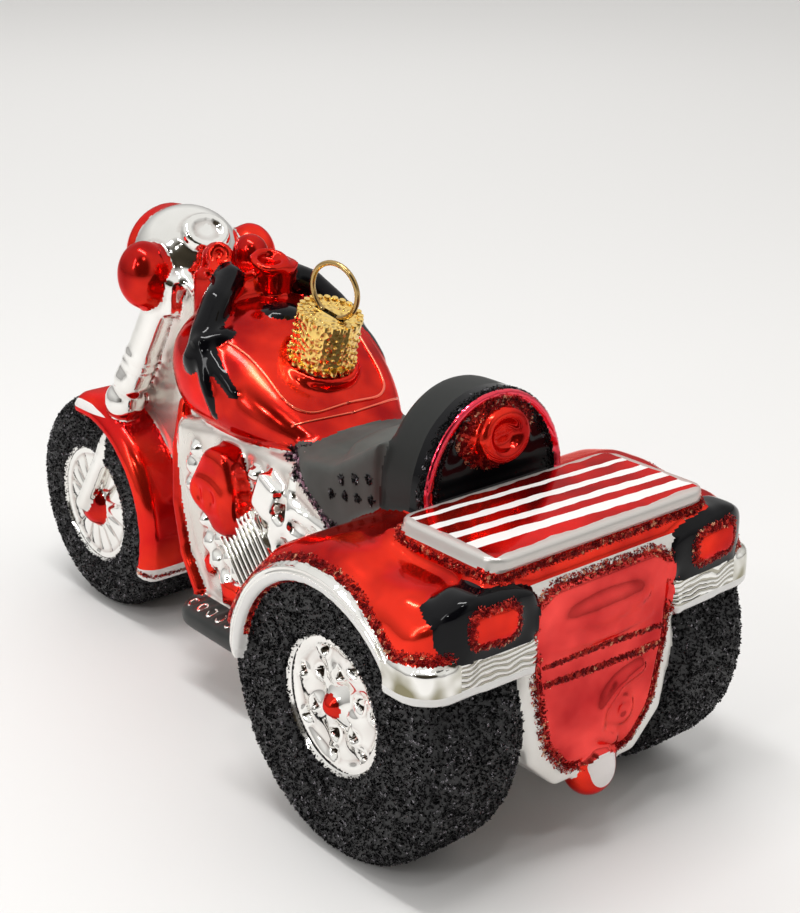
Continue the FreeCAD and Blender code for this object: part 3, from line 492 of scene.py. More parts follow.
points = read(skin.vertices, "co", 3)
edges = read(skin.edges, "vertices", 2, np.int32)
centres = read(skin.polygons, "center", 3)
zone = np.array([owner_of_face[clay_tree.find_nearest(Vector(c))[2]] for c in centres], np.int32)
corners = read(skin.loops, "vertex_index", 1, np.int32).reshape(-1, 4)
kinds = len(glass)
for _ in range(10):
    votes = np.bincount((corners * kinds + zone[:, None]).ravel(), minlength=len(points) * kinds)
    votes = votes.reshape(-1, kinds).astype(np.int16)
    mixed = (votes > 0).sum(1) > 1
    active = mixed[corners].any(1)
    zone[active] = votes[corners[active]].sum(1).argmax(1)

loop_edge = read(skin.loops, "edge_index", 1, np.int32)
loop_face = np.repeat(np.arange(len(skin.polygons)), read(skin.polygons, "loop_total", 1, np.int32))
low = np.full(len(edges), 999, np.int32)
high = np.full(len(edges), -1, np.int32)
np.minimum.at(low, loop_edge, zone[loop_face])
np.maximum.at(high, loop_edge, zone[loop_face])
border = edges[low != high]
on_border = np.zeros(len(points))
on_border[border.ravel()] = 1.0
for _ in range(120):
    points = relax(points, border, 0.60 * on_border)
    points = relax(points, border, -0.62 * on_border)
for _ in range(6):
    points = relax(points, edges, np.full(len(points), 0.5))
print("border edges:", len(border))

# %% [markdown]
# Some forms are softer than their solids: the tail pods, the fenders and the
# back rest have no sharp edge in the glass. Their points are relaxed a few
# times more. The tail panel lies a little deeper than its frame, so its inner
# points move in.

# %% Softer forms
SOFTER = {"tail_pods": 22, "air_cleaner": 8, "backrest": 8, "trunk": 6, "rear_fenders": 10, "side_lamps": 8,
          "grips": 4}
PANEL_DEPTH, PANEL_FROM_Y = 0.8 * MM, 64.5 * MM
for name, passes in SOFTER.items():
    chosen = np.zeros(len(points))
    chosen[corners[zone == glass.index(name)].ravel()] = 0.5
    for _ in range(passes):
        points = relax(points, edges, chosen)
inner = np.zeros(len(points), bool)
inner[corners[zone == glass.index("rear_panel")].ravel()] = True
inner[border.ravel()] = False
inner &= points[:, 1] > PANEL_FROM_Y
points[inner, 1] -= PANEL_DEPTH
for _ in range(4):
    points = relax(points, edges, 0.5 * inner)
skin.vertices.foreach_set("co", points.ravel())
skin.polygons.foreach_set("material_index", zone)
skin.update()
surface = BVHTree.FromPolygons(points.tolist(), corners.tolist())
print("points of the panel that moved in:", int(inner.sum()))

# %% [markdown]
# Three small node groups serve all the finishes. One gives the faint waves of
# blown glass. One gives the cloudy depth of a lacquer that pooled thicker in
# one place than in another. The third is the painter's brush: it takes a
# distance, lets noise push it to and fro, and answers with 1 between two
# limits, because a painted stripe is never ruled.

# %% Shared groups
def group(name, inputs, outputs):
    made = bpy.data.node_groups.new(name, "ShaderNodeTree")
    for label, kind, value in inputs:
        socket = made.interface.new_socket(label, in_out="INPUT", socket_type="NodeSocket" + kind)
        if value is not None:
            socket.default_value = value
    for label, kind in outputs:
        made.interface.new_socket(label, in_out="OUTPUT", socket_type="NodeSocket" + kind)
    return made, made.nodes.new("NodeGroupInput").outputs, made.nodes.new("NodeGroupOutput").inputs


def texture(tree, kind, inputs, **settings):
    """A texture in the object's own coordinates."""
    where = tree.nodes.new("ShaderNodeTexCoord").outputs["Object"]
    return add_node(tree, kind, {"Vector": where, **inputs}, **settings).outputs


waves, start, end = group("glass_waves", [("Scale", "Float", 220.0)], [("Height", "Float")])
noise = texture(waves, "ShaderNodeTexNoise", {"Detail": 1.5, "Scale": start["Scale"]})
waves.links.new(noise["Fac"], end["Height"])

depth, start, end = group("lacquer_depth", [("Thin", "Color", None), ("Thick", "Color", None),
                                            ("Scale", "Float", 90.0)], [("Color", "Color")])
noise = texture(depth, "ShaderNodeTexNoise", {"Detail": 3.0, "Scale": start["Scale"]})
cloudy = between(depth, noise["Fac"], 0.35, 0.65)
depth.links.new(mix(depth, cloudy, start["Thin"], start["Thick"]), end["Color"])

brush, start, end = group("brush_stroke", [("Distance", "Float", 0.0), ("Low", "Float", 0.0),
                                           ("High", "Float", 1.0), ("Wander", "Float", 0.0003)],
                          [("Mask", "Float")])
noise = texture(brush, "ShaderNodeTexNoise", {"Detail": 1.0, "Scale": 260.0})
push = calc(brush, "MULTIPLY", calc(brush, "SUBTRACT", noise["Fac"], 0.5), start["Wander"])
pushed = calc(brush, "MULTIPLY_ADD", push, 2.0, start["Distance"])
above, below = calc(brush, "GREATER_THAN", pushed, start["Low"]), calc(brush, "LESS_THAN", pushed, start["High"])
brush.links.new(calc(brush, "MULTIPLY", above, below), end["Mask"])
print("groups:", [g.name for g in bpy.data.node_groups])

# %% [markdown]
# Paint here is a thin coat of lacquer over silvered glass, so a mirror shines
# through the red. In the shader that is mostly a metal with the lacquer's
# colour, under a light clear coat. In its hollows the silver gets a painted
# shade, a darker colour that stands in for the glass reflecting itself.

# %% Finishes
finishes = {}


def add_bump(material, height, strength, distance):
    tree = material.node_tree
    bump = add_node(tree, "ShaderNodeBump", {"Height": height, "Strength": strength, "Distance": distance})
    tree.links.new(bump.outputs["Normal"], shader_of(material).inputs["Normal"])


def finish(name, colour, metal, rough, coat=0.0, wave=0.10, scale=220.0, coat_rough=0.03, thick=None, gleam=0.5,
           edge=(1, 1, 1), hollow_shade=None):
    """A paint or metal; thick is its colour where it pooled, and the colour in hollows is painted shade."""
    material = new_material(name, {
        "Base Color": (*colour, 1), "Metallic": metal, "Roughness": rough, "Coat Weight": coat,
        "Coat Roughness": coat_rough, "Specular IOR Level": gleam, "Specular Tint": (*edge, 1)})
    tree, base = material.node_tree, shader_of(material).inputs["Base Color"]
    ripple = add_node(tree, "ShaderNodeGroup", {"Scale": scale}, node_tree=waves)
    add_bump(material, ripple.outputs["Height"], wave, 1.0 * MM)
    if thick:
        cloud = add_node(tree, "ShaderNodeGroup", {"Thin": (*colour, 1), "Thick": (*thick, 1)}, node_tree=depth)
        tree.links.new(cloud.outputs["Color"], base)
    # Painted shade: where the surface curves inward, found by pointiness, the colour turns darker.
    if hollow_shade:
        bend = tree.nodes.new("ShaderNodeNewGeometry").outputs["Pointiness"]
        deep = between(tree, bend, 0.500, 0.440)
        tree.links.new(mix(tree, deep, base.links[0].from_socket, (*hollow_shade, 1)), base)
    finishes[name] = material


RED_THIN, RED_EDGE = (0.92, 0.034, 0.014), (1.0, 0.20, 0.14)
WHITE = (0.82, 0.81, 0.79)
finish("red_lacquer", RED_THIN, 0.86, 0.15, 0.16, 0.12, thick=(0.36, 0.002, 0.004), edge=RED_EDGE)
# Painted light: the rear panel takes a lighter copy of the red lacquer, standing in for the light that falls on it.
finish("bright_panel", (0.96, 0.070, 0.060), 0.86, 0.13, 0.22, 0.12, thick=(0.44, 0.006, 0.010),
       edge=(1.0, 0.35, 0.30))
finish("edged_fender", RED_THIN, 0.86, 0.15, 0.16, 0.12, thick=(0.66, 0.006, 0.008), edge=RED_EDGE)
finish("red_foil", (0.85, 0.02, 0.06), 1.0, 0.16, 1.0)
finish("silver_glass", (0.94, 0.93, 0.90), 1.0, 0.07, scale=200.0, thick=(0.84, 0.83, 0.79),
       hollow_shade=(0.30, 0.19, 0.16))
finish("pearl_silver", (0.86, 0.83, 0.78), 0.70, 0.25, 0.6, thick=(0.70, 0.66, 0.60), hollow_shade=(0.68, 0.50, 0.46))
finish("pearl_white", (0.86, 0.84, 0.80), 0.20, 0.28, 0.5, thick=(0.78, 0.75, 0.70))
finish("white_enamel", WHITE, 0.0, 0.25, 0.3)
finish("black_lacquer", (0.002, 0.002, 0.003), 0.0, 0.06, 0.10, gleam=0.14)
finish("black_matte", (0.100, 0.103, 0.096), 0.0, 0.62, 0.0, 0.45, 140.0, 0.3, (0.060, 0.062, 0.058), 0.20)
# Painted shade: the footboards take a darker and glossier copy of the matte black; the darker colour stands in for
# the shadow under the trike.
finish("board_black", (0.016, 0.018, 0.017), 0.0, 0.42, 0.0, 0.30, 140.0, 0.3, (0.028, 0.030, 0.029), 0.35)
finish("black_glitter", (0.004, 0.004, 0.005), 0.0, 0.50)
# Painted highlight: the raised tank lines are real relief, and their lighter red stands in for the highlight along
# them.
finish("bright_edge", (1.0, 0.15, 0.08), 0.9, 0.12, 0.5)
finish("clear_glass", (0.9, 0.92, 0.92), 0.0, 0.05)
finish("gilt_cap", (0.86, 0.58, 0.15), 1.0, 0.24)
finish("brass_wire", (0.55, 0.38, 0.15), 1.0, 0.20, thick=(0.40, 0.26, 0.10))
finish("pit_shadow", (0.05, 0.035, 0.025), 0.9, 0.25)
slot_of = {s["node"]: s["material_slot"] for s in frame["record"]["subparts"]}
print("finishes:", len(finishes))

# %% [markdown]
# Some pieces wear two paints. Each of them starts as a copy of its main
# finish, and a mask from the brush mixes the second paint over it. The masks
# are made from the place on the piece: its X, Y and Z in the ornament.

# %% Functions for a second paint
def variant(base, name):
    finishes[name] = finishes[base].copy()
    finishes[name].name = name
    return finishes[name], *places(finishes[name])


def places(material):
    """The material's node tree and the sockets with the place in X, Y and Z."""
    tree = material.node_tree
    where = tree.nodes.new("ShaderNodeTexCoord").outputs["Object"]
    return tree, *add_node(tree, "ShaderNodeSeparateXYZ", {0: where}).outputs


def stroke(tree, distance, low_end, high_end, wander=0.0):
    inputs = {"Distance": distance, "Low": low_end, "High": high_end, "Wander": wander}
    return add_node(tree, "ShaderNodeGroup", inputs, node_tree=brush).outputs["Mask"]


def paint_over(material, mask, colour, metal, rough):
    """Mixes a second paint over a finish where the mask is 1."""
    tree = material.node_tree
    for label, value, kind in (("Base Color", (*colour, 1), "RGBA"), ("Metallic", metal, "FLOAT"),
                               ("Roughness", rough, "FLOAT")):
        socket = shader_of(material).inputs[label]
        under = socket.links[0].from_socket if socket.is_linked else socket.default_value
        tree.links.new(mix(tree, mask, under, value, kind), socket)


def painted_dark_reflection(material, reflection_area):
    """Painted reflection: olive clouds that stand in for dark surroundings seen in the silver."""
    tree = material.node_tree
    cloud = add_node(tree, "ShaderNodeGroup", {"Scale": 230.0}, node_tree=waves)
    patches = between(tree, cloud.outputs["Height"], 0.42, 0.66)
    paint_over(material, calc(tree, "MULTIPLY", patches, reflection_area), (0.26, 0.24, 0.15), 1.0, 0.10)


print("slots in the record:", sorted(set(slot_of.values())))

# %% [markdown]
# The trunk lid has four white stripes that grow wider towards the rear, a
# little aslant, and a grey rim that was painted last.

# %% Lid stripes
STRIPE_WIDTHS, FIRST_STRIPE, STRIPE_PITCH = (1.0, 1.4, 1.6, 2.1), 3.6 * MM, 3.75 * MM
lid, tree, x, y, z = variant("red_lacquer", "striped_lid")
lid_low, lid_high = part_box("trunk_lid")
slant = calc(tree, "MULTIPLY_ADD", x, 0.06, y)
stripes = 0.0
for k, width in enumerate(STRIPE_WIDTHS):
    middle = lid_low[1] + FIRST_STRIPE + STRIPE_PITCH * k
    mask = stroke(tree, slant, middle - width / 2 * MM, middle + width / 2 * MM, 0.45 * MM)
    stripes = calc(tree, "MAXIMUM", stripes, mask)
to_side = calc(tree, "SUBTRACT", calc(tree, "ABSOLUTE", x), lid_high[0])
from_middle = calc(tree, "SUBTRACT", y, (lid_high[1] + lid_low[1]) / 2)
to_end = calc(tree, "SUBTRACT", calc(tree, "ABSOLUTE", from_middle), (lid_high[1] - lid_low[1]) / 2)
rim = stroke(tree, calc(tree, "MAXIMUM", to_side, to_end), -1.35 * MM, 1.0, 0.75 * MM)
paint_over(lid, stripes, WHITE, 0.0, 0.28)
paint_over(lid, rim, (0.60, 0.59, 0.56), 0.55, 0.30)
print("lid stripes at y", lid_low[1], "to", lid_high[1])

# %% [markdown]
# The wheel arch has a white band next to the tyre and fine ribs in the silver
# outside it. The ribs come from a sine of the distance to the axle. The back
# rest is dull in front and glossy behind.

# %% Arch lips and back rest
WHITE_BAND, RIB_PITCH = 19.2 * MM, 0.62 * MM
arch, tree, x, y, z = variant("silver_glass", "arch_lip")
wheel = middle_of("rear_tyres")
across, upward = calc(tree, "SUBTRACT", y, wheel.y), calc(tree, "SUBTRACT", z, wheel.z)
from_axle = calc(tree, "SQRT", calc(tree, "MULTIPLY_ADD", upward, upward, calc(tree, "MULTIPLY", across, across)))
paint_over(arch, stroke(tree, from_axle, 0.0, WHITE_BAND, 0.15 * MM), WHITE, 0.0, 0.25)
# Painted reflection: olive clouds on the silver at the rear of the arch, outside the white band.
painted_dark_reflection(arch, calc(tree, "MULTIPLY", stroke(tree, y, 56.0 * MM, 1.0),
                       stroke(tree, from_axle, 19.4 * MM, 1.0)))
rib = calc(tree, "SINE", calc(tree, "MULTIPLY", from_axle, 2 * math.pi / RIB_PITCH))
add_bump(arch, calc(tree, "MULTIPLY", rib, stroke(tree, from_axle, WHITE_BAND, 1.0)), 0.8, 0.09 * MM)

back, tree, x, y, z = variant("black_lacquer", "two_sheen_back")
glossy_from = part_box("backrest")[1][1] - 2.6 * MM
paint_over(back, stroke(tree, y, -1.0, glossy_from, 0.2 * MM), (0.022, 0.023, 0.022), 0.0, 0.55)
print("white band up to", WHITE_BAND / MM, "mm from the axle, glossy from y", glossy_from)

# %% [markdown]
# The front fender has a white edge on its upper flank and along its foot. The
# bumper has a white line below, waves embossed between the tail lamps with
# painted shade in their grooves, and a painted dark reflection at its ends.
# The tail nub has one oval dab of white.

# %% Front fender, bumpers and tail dab
front = finishes["edged_fender"]
tree, x, y, z = places(front)
fender_low, fender_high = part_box("front_fender")
flank = stroke(tree, calc(tree, "ABSOLUTE", x), fender_high[0] - 1.0 * MM, 1.0, 0.15 * MM)
foot = stroke(tree, z, -1.0, fender_low[2] + 1.6 * MM, 0.10 * MM)
band = calc(tree, "MAXIMUM", calc(tree, "MULTIPLY", flank, stroke(tree, z, 37.5 * MM, 1.0)),
            calc(tree, "MULTIPLY", foot, stroke(tree, y, -45.0 * MM, 1.0)))
paint_over(front, band, WHITE, 0.0, 0.25)

bumper, tree, x, y, z = variant("silver_glass", "embossed_bumper")
line_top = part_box("bumpers")[0][2] + 1.35 * MM
paint_over(bumper, stroke(tree, z, 0.0, line_top, 0.15 * MM), WHITE, 0.0, 0.25)
ripples = texture(tree, "ShaderNodeTexWave", {"Scale": 430.0, "Distortion": 11.0, "Detail": 1.0,
                                              "Detail Scale": 0.55}, bands_direction="Z")["Fac"]
inboard = stroke(tree, calc(tree, "ABSOLUTE", x), 0.0, 25.5 * MM)
above = stroke(tree, z, line_top, 1.0, 0.15 * MM)
field = calc(tree, "MULTIPLY", inboard, above)
# Painted reflection: olive clouds on the silver at the bumper's ends, outboard of the tail lamps.
painted_dark_reflection(bumper, calc(tree, "MULTIPLY", calc(tree, "SUBTRACT", 1.0, inboard), above))
# Painted shade: the grooves between the embossed waves take a darker olive grey.
groove = calc(tree, "MULTIPLY", calc(tree, "LESS_THAN", ripples, 0.38), field)
paint_over(bumper, groove, (0.42, 0.40, 0.33), 1.0, 0.15)
add_bump(bumper, calc(tree, "MULTIPLY", ripples, field), 0.7, 0.25 * MM)

dab, tree, x, y, z = variant("red_lacquer", "tail_dab")
terms = []
for socket, middle, half in ((x, 0.1 * MM, 2.5 * MM), (z, 13.4 * MM, 3.4 * MM)):
    share = calc(tree, "DIVIDE", calc(tree, "SUBTRACT", socket, middle), half)
    terms.append(calc(tree, "MULTIPLY", share, share))
oval = stroke(tree, calc(tree, "ADD", *terms), -1.0, 1.0, 0.25)
paint_over(dab, calc(tree, "MULTIPLY", oval, stroke(tree, y, 65.0 * MM, 1.0)), WHITE, 0.0, 0.25)
print("bumper line up to z", line_top)

# %% [markdown]
# The gilt cap is stamped from thin brass sheet: scrolls round its side, a
# plain top with studs. Its solid already has the studs, so the scrolls are a
# bump, and a second colour darkens the hollows as age does on stamped metal.

# %% Stamped cap
cap, tree = finishes["gilt_cap"], finishes["gilt_cap"].node_tree
cells = texture(tree, "ShaderNodeTexVoronoi", {"Scale": 1150.0})
add_bump(cap, cells["Distance"], 0.7, 0.3 * MM)
tone = colour_ramp(tree, cells["Distance"], [(0.05, (0.42, 0.24, 0.04)), (0.45, (0.95, 0.66, 0.20))])
tree.links.new(tone, shader_of(cap).inputs["Base Color"])
print("nodes of the cap's finish:", len(tree.nodes))

# %% [markdown]
# The skin is parted where the colours change. Each part stands for one solid
# and takes its finish from the record's slot, or the variant made for it, so
# the ornament stays an assembly of named pieces.

# %% Part the skin into pieces
SPECIAL = {"rear_panel": "bright_panel", "trunk_lid": "striped_lid", "fender_lips": "arch_lip",
           "bumpers": "embossed_bumper", "tail_nub": "tail_dab", "backrest_piping": "red_foil",
           "front_fender": "edged_fender", "backrest": "two_sheen_back", "footboards": "board_black"}
for name in glass:
    skin.materials.append(bpy.data.materials.new("zone_" + name))
whole = put("glass_skin", skin)
bpy.context.view_layer.objects.active = whole
whole.select_set(True)
bpy.ops.mesh.separate(type="MATERIAL")
pieces = {}
for piece in [o for o in scene.objects if o.name.startswith("glass_skin")]:
    name = piece.material_slots[0].material.name.removeprefix("zone_")
    piece.name = name + "_glass"
    piece.data.materials.clear()
    piece.data.materials.append(finishes[SPECIAL.get(name, slot_of[name])])
    piece.data.shade_smooth()
    pieces[name] = piece
    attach(piece, "glass_body")
    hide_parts(name)
for material in [m for m in bpy.data.materials if m.name.startswith("zone_")]:
    bpy.data.materials.remove(material)
print("pieces:", len(pieces), "without skin:", [n for n in glass if n not in pieces])

# %% [markdown]
# Glitter is a layer of tiny chips that were strewn on wet varnish. A texture
# alone stays smooth at the outline, so real chips are scattered: each is a
# small flat wedge with a turn and tilt of its own. There are tens of
# thousands, so their corners are set as arrays and not by operators, which
# would take minutes. A fixed seed gives the same chips at every run.

# %% Chips of glitter
def chips(name, spots, normals, size, lift, finish_name, seed, tilt=0.6):
    """One mesh of four-sided chips, each turned and tilted at random."""
    rng = np.random.default_rng(seed)
    count = len(spots)
    up = normals + rng.normal(0, tilt, (count, 3))
    up /= np.linalg.norm(up, axis=1)[:, None]
    side = np.cross(up, rng.normal(0, 1, (count, 3)))
    side /= np.linalg.norm(side, axis=1)[:, None]
    ahead = np.cross(up, side)
    grow = (size * rng.uniform(0.55, 1.3, count))[:, None]
    middle = spots + normals * (lift * rng.uniform(-0.2, 1.0, count))[:, None]
    tips = [middle + grow * side * 0.6, middle + grow * (ahead * 0.55 - side * 0.35),
            middle + grow * (-ahead * 0.55 - side * 0.35), middle - grow * up * 0.35]
    tips = np.clip(np.stack(tips, 1), *cad_box)
    mesh = bpy.data.meshes.new(name)
    mesh.vertices.add(4 * count)
    mesh.vertices.foreach_set("co", tips.ravel())
    base = 4 * np.arange(count)[:, None]
    faces = np.concatenate([base + t for t in ([0, 1, 2], [1, 0, 3], [2, 1, 3], [0, 2, 3])], 1)
    mesh.loops.add(12 * count)
    mesh.loops.foreach_set("vertex_index", faces.ravel().astype(np.int32))
    mesh.polygons.add(4 * count)
    mesh.polygons.foreach_set("loop_start", np.arange(0, 12 * count, 3, dtype=np.int32))
    mesh.update(calc_edges=True)
    mesh.materials.append(finishes[finish_name])
    piece = put(name, mesh)
    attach(piece, "glass_body")
    print(name, count, "chips")
    return piece


def chip_finish(name, tones, metal, rough):
    """Chips whose colour differs from grain to grain; tones are places and colours."""
    finishes[name] = new_material(name, {"Metallic": metal, "Roughness": rough})
    tree = finishes[name].node_tree
    cells = texture(tree, "ShaderNodeTexVoronoi", {"Scale": 1900.0})
    tone = colour_ramp(tree, cells["Color"], tones, "CONSTANT")
    tree.links.new(tone, shader_of(finishes[name]).inputs["Base Color"])


chip_finish("black_chips", [(0.0, (0.003, 0.003, 0.004)), (0.45, (0.014, 0.013, 0.014)),
                            (0.68, (0.050, 0.046, 0.050)), (0.82, (0.35, 0.33, 0.36))], 0.9, 0.28)
chip_finish("red_chips", [(0.0, (0.22, 0.004, 0.006)), (0.40, (0.45, 0.015, 0.015)),
                          (0.60, (0.75, 0.06, 0.04)), (0.80, (1.0, 0.50, 0.30))], 0.75, 0.32)
chip_finish("fringe_chips", [(0.0, (0.006, 0.005, 0.006)), (0.45, (0.06, 0.03, 0.05)),
                             (0.62, (0.45, 0.22, 0.32)), (0.78, (0.80, 0.60, 0.68))], 0.85, 0.30)
print("finishes with chips:", len(finishes))

# %% [markdown]
# The tyres are covered all over. Spots are drawn at random from the triangles
# of the piece, each triangle as often as its area asks for, so the cover is
# even on large and small faces alike.

# %% Glitter tyres
CHIPS_PER_MM2 = 9.0


def strew(piece, per_square_mm, seed, keep):
    """Random spots and normals on a piece; keep says which spots count."""
    rng = np.random.default_rng(seed)
    piece.data.calc_loop_triangles()
    triangles = read(piece.data.loop_triangles, "vertices", 3, np.int32)
    spots = read(piece.data.vertices, "co", 3)
    a, b, c = (spots[triangles[:, k]] for k in range(3))
    cross = np.cross(b - a, c - a)
    area = np.linalg.norm(cross, axis=1) / 2
    count = int(area.sum() / MM ** 2 * per_square_mm)
    pick = rng.choice(len(area), count, p=area / area.sum())
    u, v = rng.random(count), rng.random(count)
    flip = u + v > 1
    u[flip], v[flip] = 1 - u[flip], 1 - v[flip]
    spots = a[pick] + u[:, None] * (b - a)[pick] + v[:, None] * (c - a)[pick]
    normals = cross[pick] / np.linalg.norm(cross[pick], axis=1)[:, None]
    wanted = keep(spots)
    return spots[wanted], normals[wanted]


for seed, name in enumerate(["rear_tyres", "front_tyre"]):
    for hand, sign in (("left", 1), ("right", -1)):
        spots, normals = strew(pieces[name], CHIPS_PER_MM2, seed, lambda s: s[:, 0] * sign > 0)
        glitter = chips("%s_glitter_%s" % (name, hand), spots, normals, 0.40 * MM, 0.24 * MM,
                        "black_chips", seed + 10)

# %% [markdown]
# The painter drew glitter lines over the seams between colours, which also
# hides where one paint meets the next. The lines follow the borders of the
# zones found above: spots are taken along a border, thrown to either side by
# a chosen spread, and dropped back on the skin. Other lines follow listed
# routes: two across the tail panel and short dashes on the seat.

# %% Glitter lines
def drop(spots, avoid=()):
    """Nearest places on the skin with their normals, but none in the zones to avoid."""
    found = [surface.find_nearest(Vector(s))[:3] for s in spots]
    shun = {glass.index(n) for n in avoid}
    found = [f for f in found if zone[f[2]] not in shun]
    return np.array([f[0] for f in found]), np.array([f[1] for f in found])


def along(starts, ends, per_mm, spread, seed, shift=(0, 0, 0), avoid=()):
    """Random spots along many short lines, thrown aside by up to the spread in mm."""
    rng = np.random.default_rng(seed)
    lengths = np.linalg.norm(ends - starts, axis=1)
    count = int(lengths.sum() / MM * per_mm)
    pick = rng.choice(len(starts), count, p=lengths / lengths.sum())
    t = rng.random(count)[:, None]
    away = rng.normal(0, 1, (count, 3))
    away *= (rng.random(count) ** 0.5 / np.linalg.norm(away, axis=1))[:, None]
    spots = starts[pick] * (1 - t) + ends[pick] * t + away * spread * MM + np.array(shift) * MM
    return drop(spots, avoid)


def seam(first, second, per_mm, spread, seed, keep=None, shift=(0, 0, 0), avoid=()):
    """Spots along the border between some zones and others (None for any other)."""
    one = [glass.index(n) for n in first]
    others = range(len(glass)) if second is None else [glass.index(n) for n in second]
    meets = ((np.isin(low, one) & np.isin(high, others)) | (np.isin(high, one) & np.isin(low, others)))
    meets &= low != high
    starts, ends = points[edges[meets, 0]], points[edges[meets, 1]]
    if keep is not None:
        wanted = keep((starts + ends) / 2 / MM)
        starts, ends = starts[wanted], ends[wanted]
    return along(starts, ends, per_mm, spread, seed, shift, avoid)


def drawn(route, per_mm, spread, seed, pair=True):
    """Spots along a listed route in mm, on both sides if asked."""
    routes = [np.array(route) * MM]
    if pair:
        routes.append(routes[0] * (-1, 1, 1))
    starts = np.concatenate([r[:-1] for r in routes])
    ends = np.concatenate([r[1:] for r in routes])
    return along(starts, ends, per_mm, spread, seed)


def glitter_line(name, paint, seed, find, *where, size=0.27, **options):
    """Chips of one paint on the spots that seam or drawn finds for a seed."""
    finish_name, slot = paint
    line = chips(name, *find(*where, seed=seed, **options), size * MM, 0.12 * MM, finish_name, seed, 0.40)


RED, BLACK, FRINGE = (("red_chips", "red_lacquer"), ("black_chips", "black_glitter"),
                      ("fringe_chips", "black_glitter"))
glitter_line("fender_line", RED, 1, seam, ["rear_fenders"], ["fender_lips", "bumpers"], 95, 1.1,
             keep=lambda s: abs(s[:, 0]) > 26.0, shift=(0, 0, 0.7), avoid=["fender_lips", "bumpers"])
glitter_line("panel_line", RED, 2, seam, ["rear_panel"], ["rear_body", "trunk"], 95, 1.0)
glitter_line("lens_line", RED, 3, seam, ["tail_lenses"], None, 70, 0.75)
glitter_line("lamp_line", RED, 4, seam, ["backrest_lamp"], None, 110, 1.2)
glitter_line("lid_line", RED, 5, seam, ["trunk_lid"], None, 75, 0.75,
             keep=lambda s: s[:, 1] > 44.5, shift=(0, 0, -0.9), avoid=["trunk_lid"])
glitter_line("front_fender_line", RED, 6, seam, ["front_fender"], ["front_fender_edge", "front_tyre"], 34, 0.55,
             avoid=["front_tyre"])
glitter_line("backrest_line", BLACK, 7, seam, ["backrest_piping"], None, 60, 1.6, avoid=["backrest_piping"])
glitter_line("tyre_rim_line", BLACK, 8, seam, ["rear_tyres", "front_tyre"],
             ["rear_wheel_discs", "front_wheel_disc"], 9, 0.6)
glitter_line("panel_cross_high", RED, 9, drawn, [(11.5, 66.2, 31.2), (0, 66.2, 30.9), (-11.5, 66.2, 30.4)],
             60, 0.42, pair=False)
glitter_line("panel_cross_low", RED, 10, drawn, [(11.0, 66.2, 28.6), (0, 66.2, 28.0), (-11.0, 66.2, 27.8)],
             80, 0.6, pair=False)
glitter_line("seat_fringe", FRINGE, 11, seam, ["seat"], ["engine_case", "cylinders", "frame_rails"], 150, 1.5,
             keep=lambda s: s[:, 1] < 27, size=0.36)
bead_spots = [(13.8, 24.0 + 2.9 * k, 43.4 + 0.5 * k) for k in range(4)]
bead_spots += [(13.6, 26.2 + 3.0 * k, 46.2 + 0.9 * k) for k in range(3)]
for k, spot in enumerate(bead_spots):
    near = Vector(spot) + Vector((0, 0.3, 0))
    glitter_line("seat_beads_%d" % k, BLACK, 20 + k, drawn, [spot, near], 170, 0.8, size=0.42)

# %% [markdown]
# The tank's rounded top ends in a fine raised line, left by a groove in the
# mould. Its route is dropped on the skin and evened out, and circles along
# it are bridged two by two, so it hugs the tank at every turn. A second line
# runs just above the seat. Both wear a lighter red than the lacquer, a painted
# highlight along the ridge.

# %% Raised lines on the tank
LINE_STEP, LINE_LIFT = 0.6, 0.10 * MM


def bead_line(name, route, radius):
    """Round line that follows the skin, on both sides."""
    form = bmesh.new()
    route = np.array(route)
    steps = np.concatenate([[0], np.cumsum(np.linalg.norm(np.diff(route, axis=0), axis=1))])
    even = np.linspace(0, steps[-1], int(steps[-1] / LINE_STEP))
    spots = np.stack([np.interp(even, steps, route[:, k]) for k in range(3)], 1)
    spots, normals = drop(spots * MM)
    for _ in range(6):
        spots[1:-1] = (spots[:-2] + 2 * spots[1:-1] + spots[2:]) / 4
    spots = spots + normals * LINE_LIFT
    for hand in (1, -1):
        path = [Vector(p * (hand, 1, 1)) for p in spots]
        rings = []
        for k, spot in enumerate(path):
            ahead = path[min(k + 1, len(path) - 1)] - path[max(k - 1, 0)]
            made = bmesh.ops.create_circle(form, segments=10, radius=radius * MM,
                                           matrix=Matrix.Translation(spot) @ turned_to(ahead),
                                           cap_ends=k in (0, len(path) - 1))["verts"]
            rings.append([e for e in {e for v in made for e in v.link_edges} if len(e.link_faces) < 2])
        for a, b in zip(rings, rings[1:]):
            bmesh.ops.bridge_loops(form, edges=a + b)
    bmesh.ops.recalc_face_normals(form, faces=form.faces)
    piece_from(name, form, ["bright_edge"])


bead_line("tank_contour", [(11.4, -5.0, 58.6), (10.4, -1.2, 57.3), (9.8, 2.6, 54.9), (9.5, 6.1, 52.3),
                           (8.6, 8.4, 50.5), (6.3, 9.9, 49.8), (1.5, 10.0, 50.2), (0.0, 10.0, 50.3)], 0.24)
bead_line("tank_foot_line", [(10.1, 9.4, 48.6), (6.0, 10.6, 48.9), (0.0, 11.2, 48.9)], 0.20)

# %% [markdown]
# The cap's side is stamped with columns of small grains. They are little
# spheres sunk by half into the side wall, every other column shifted by half
# a step, and one more ring of them stands round the slot on top.

# %% Grains on the cap
COLUMNS, ROWS, TOP_GRAINS = 26, 5, 16
cap_place = Matrix.Translation(neck_foot * MM) @ turned_to(neck_axis)
cap_top = max((cap_place.inverted() @ v.co).z for v in solids["cap"].data.vertices)
grains = bmesh.new()


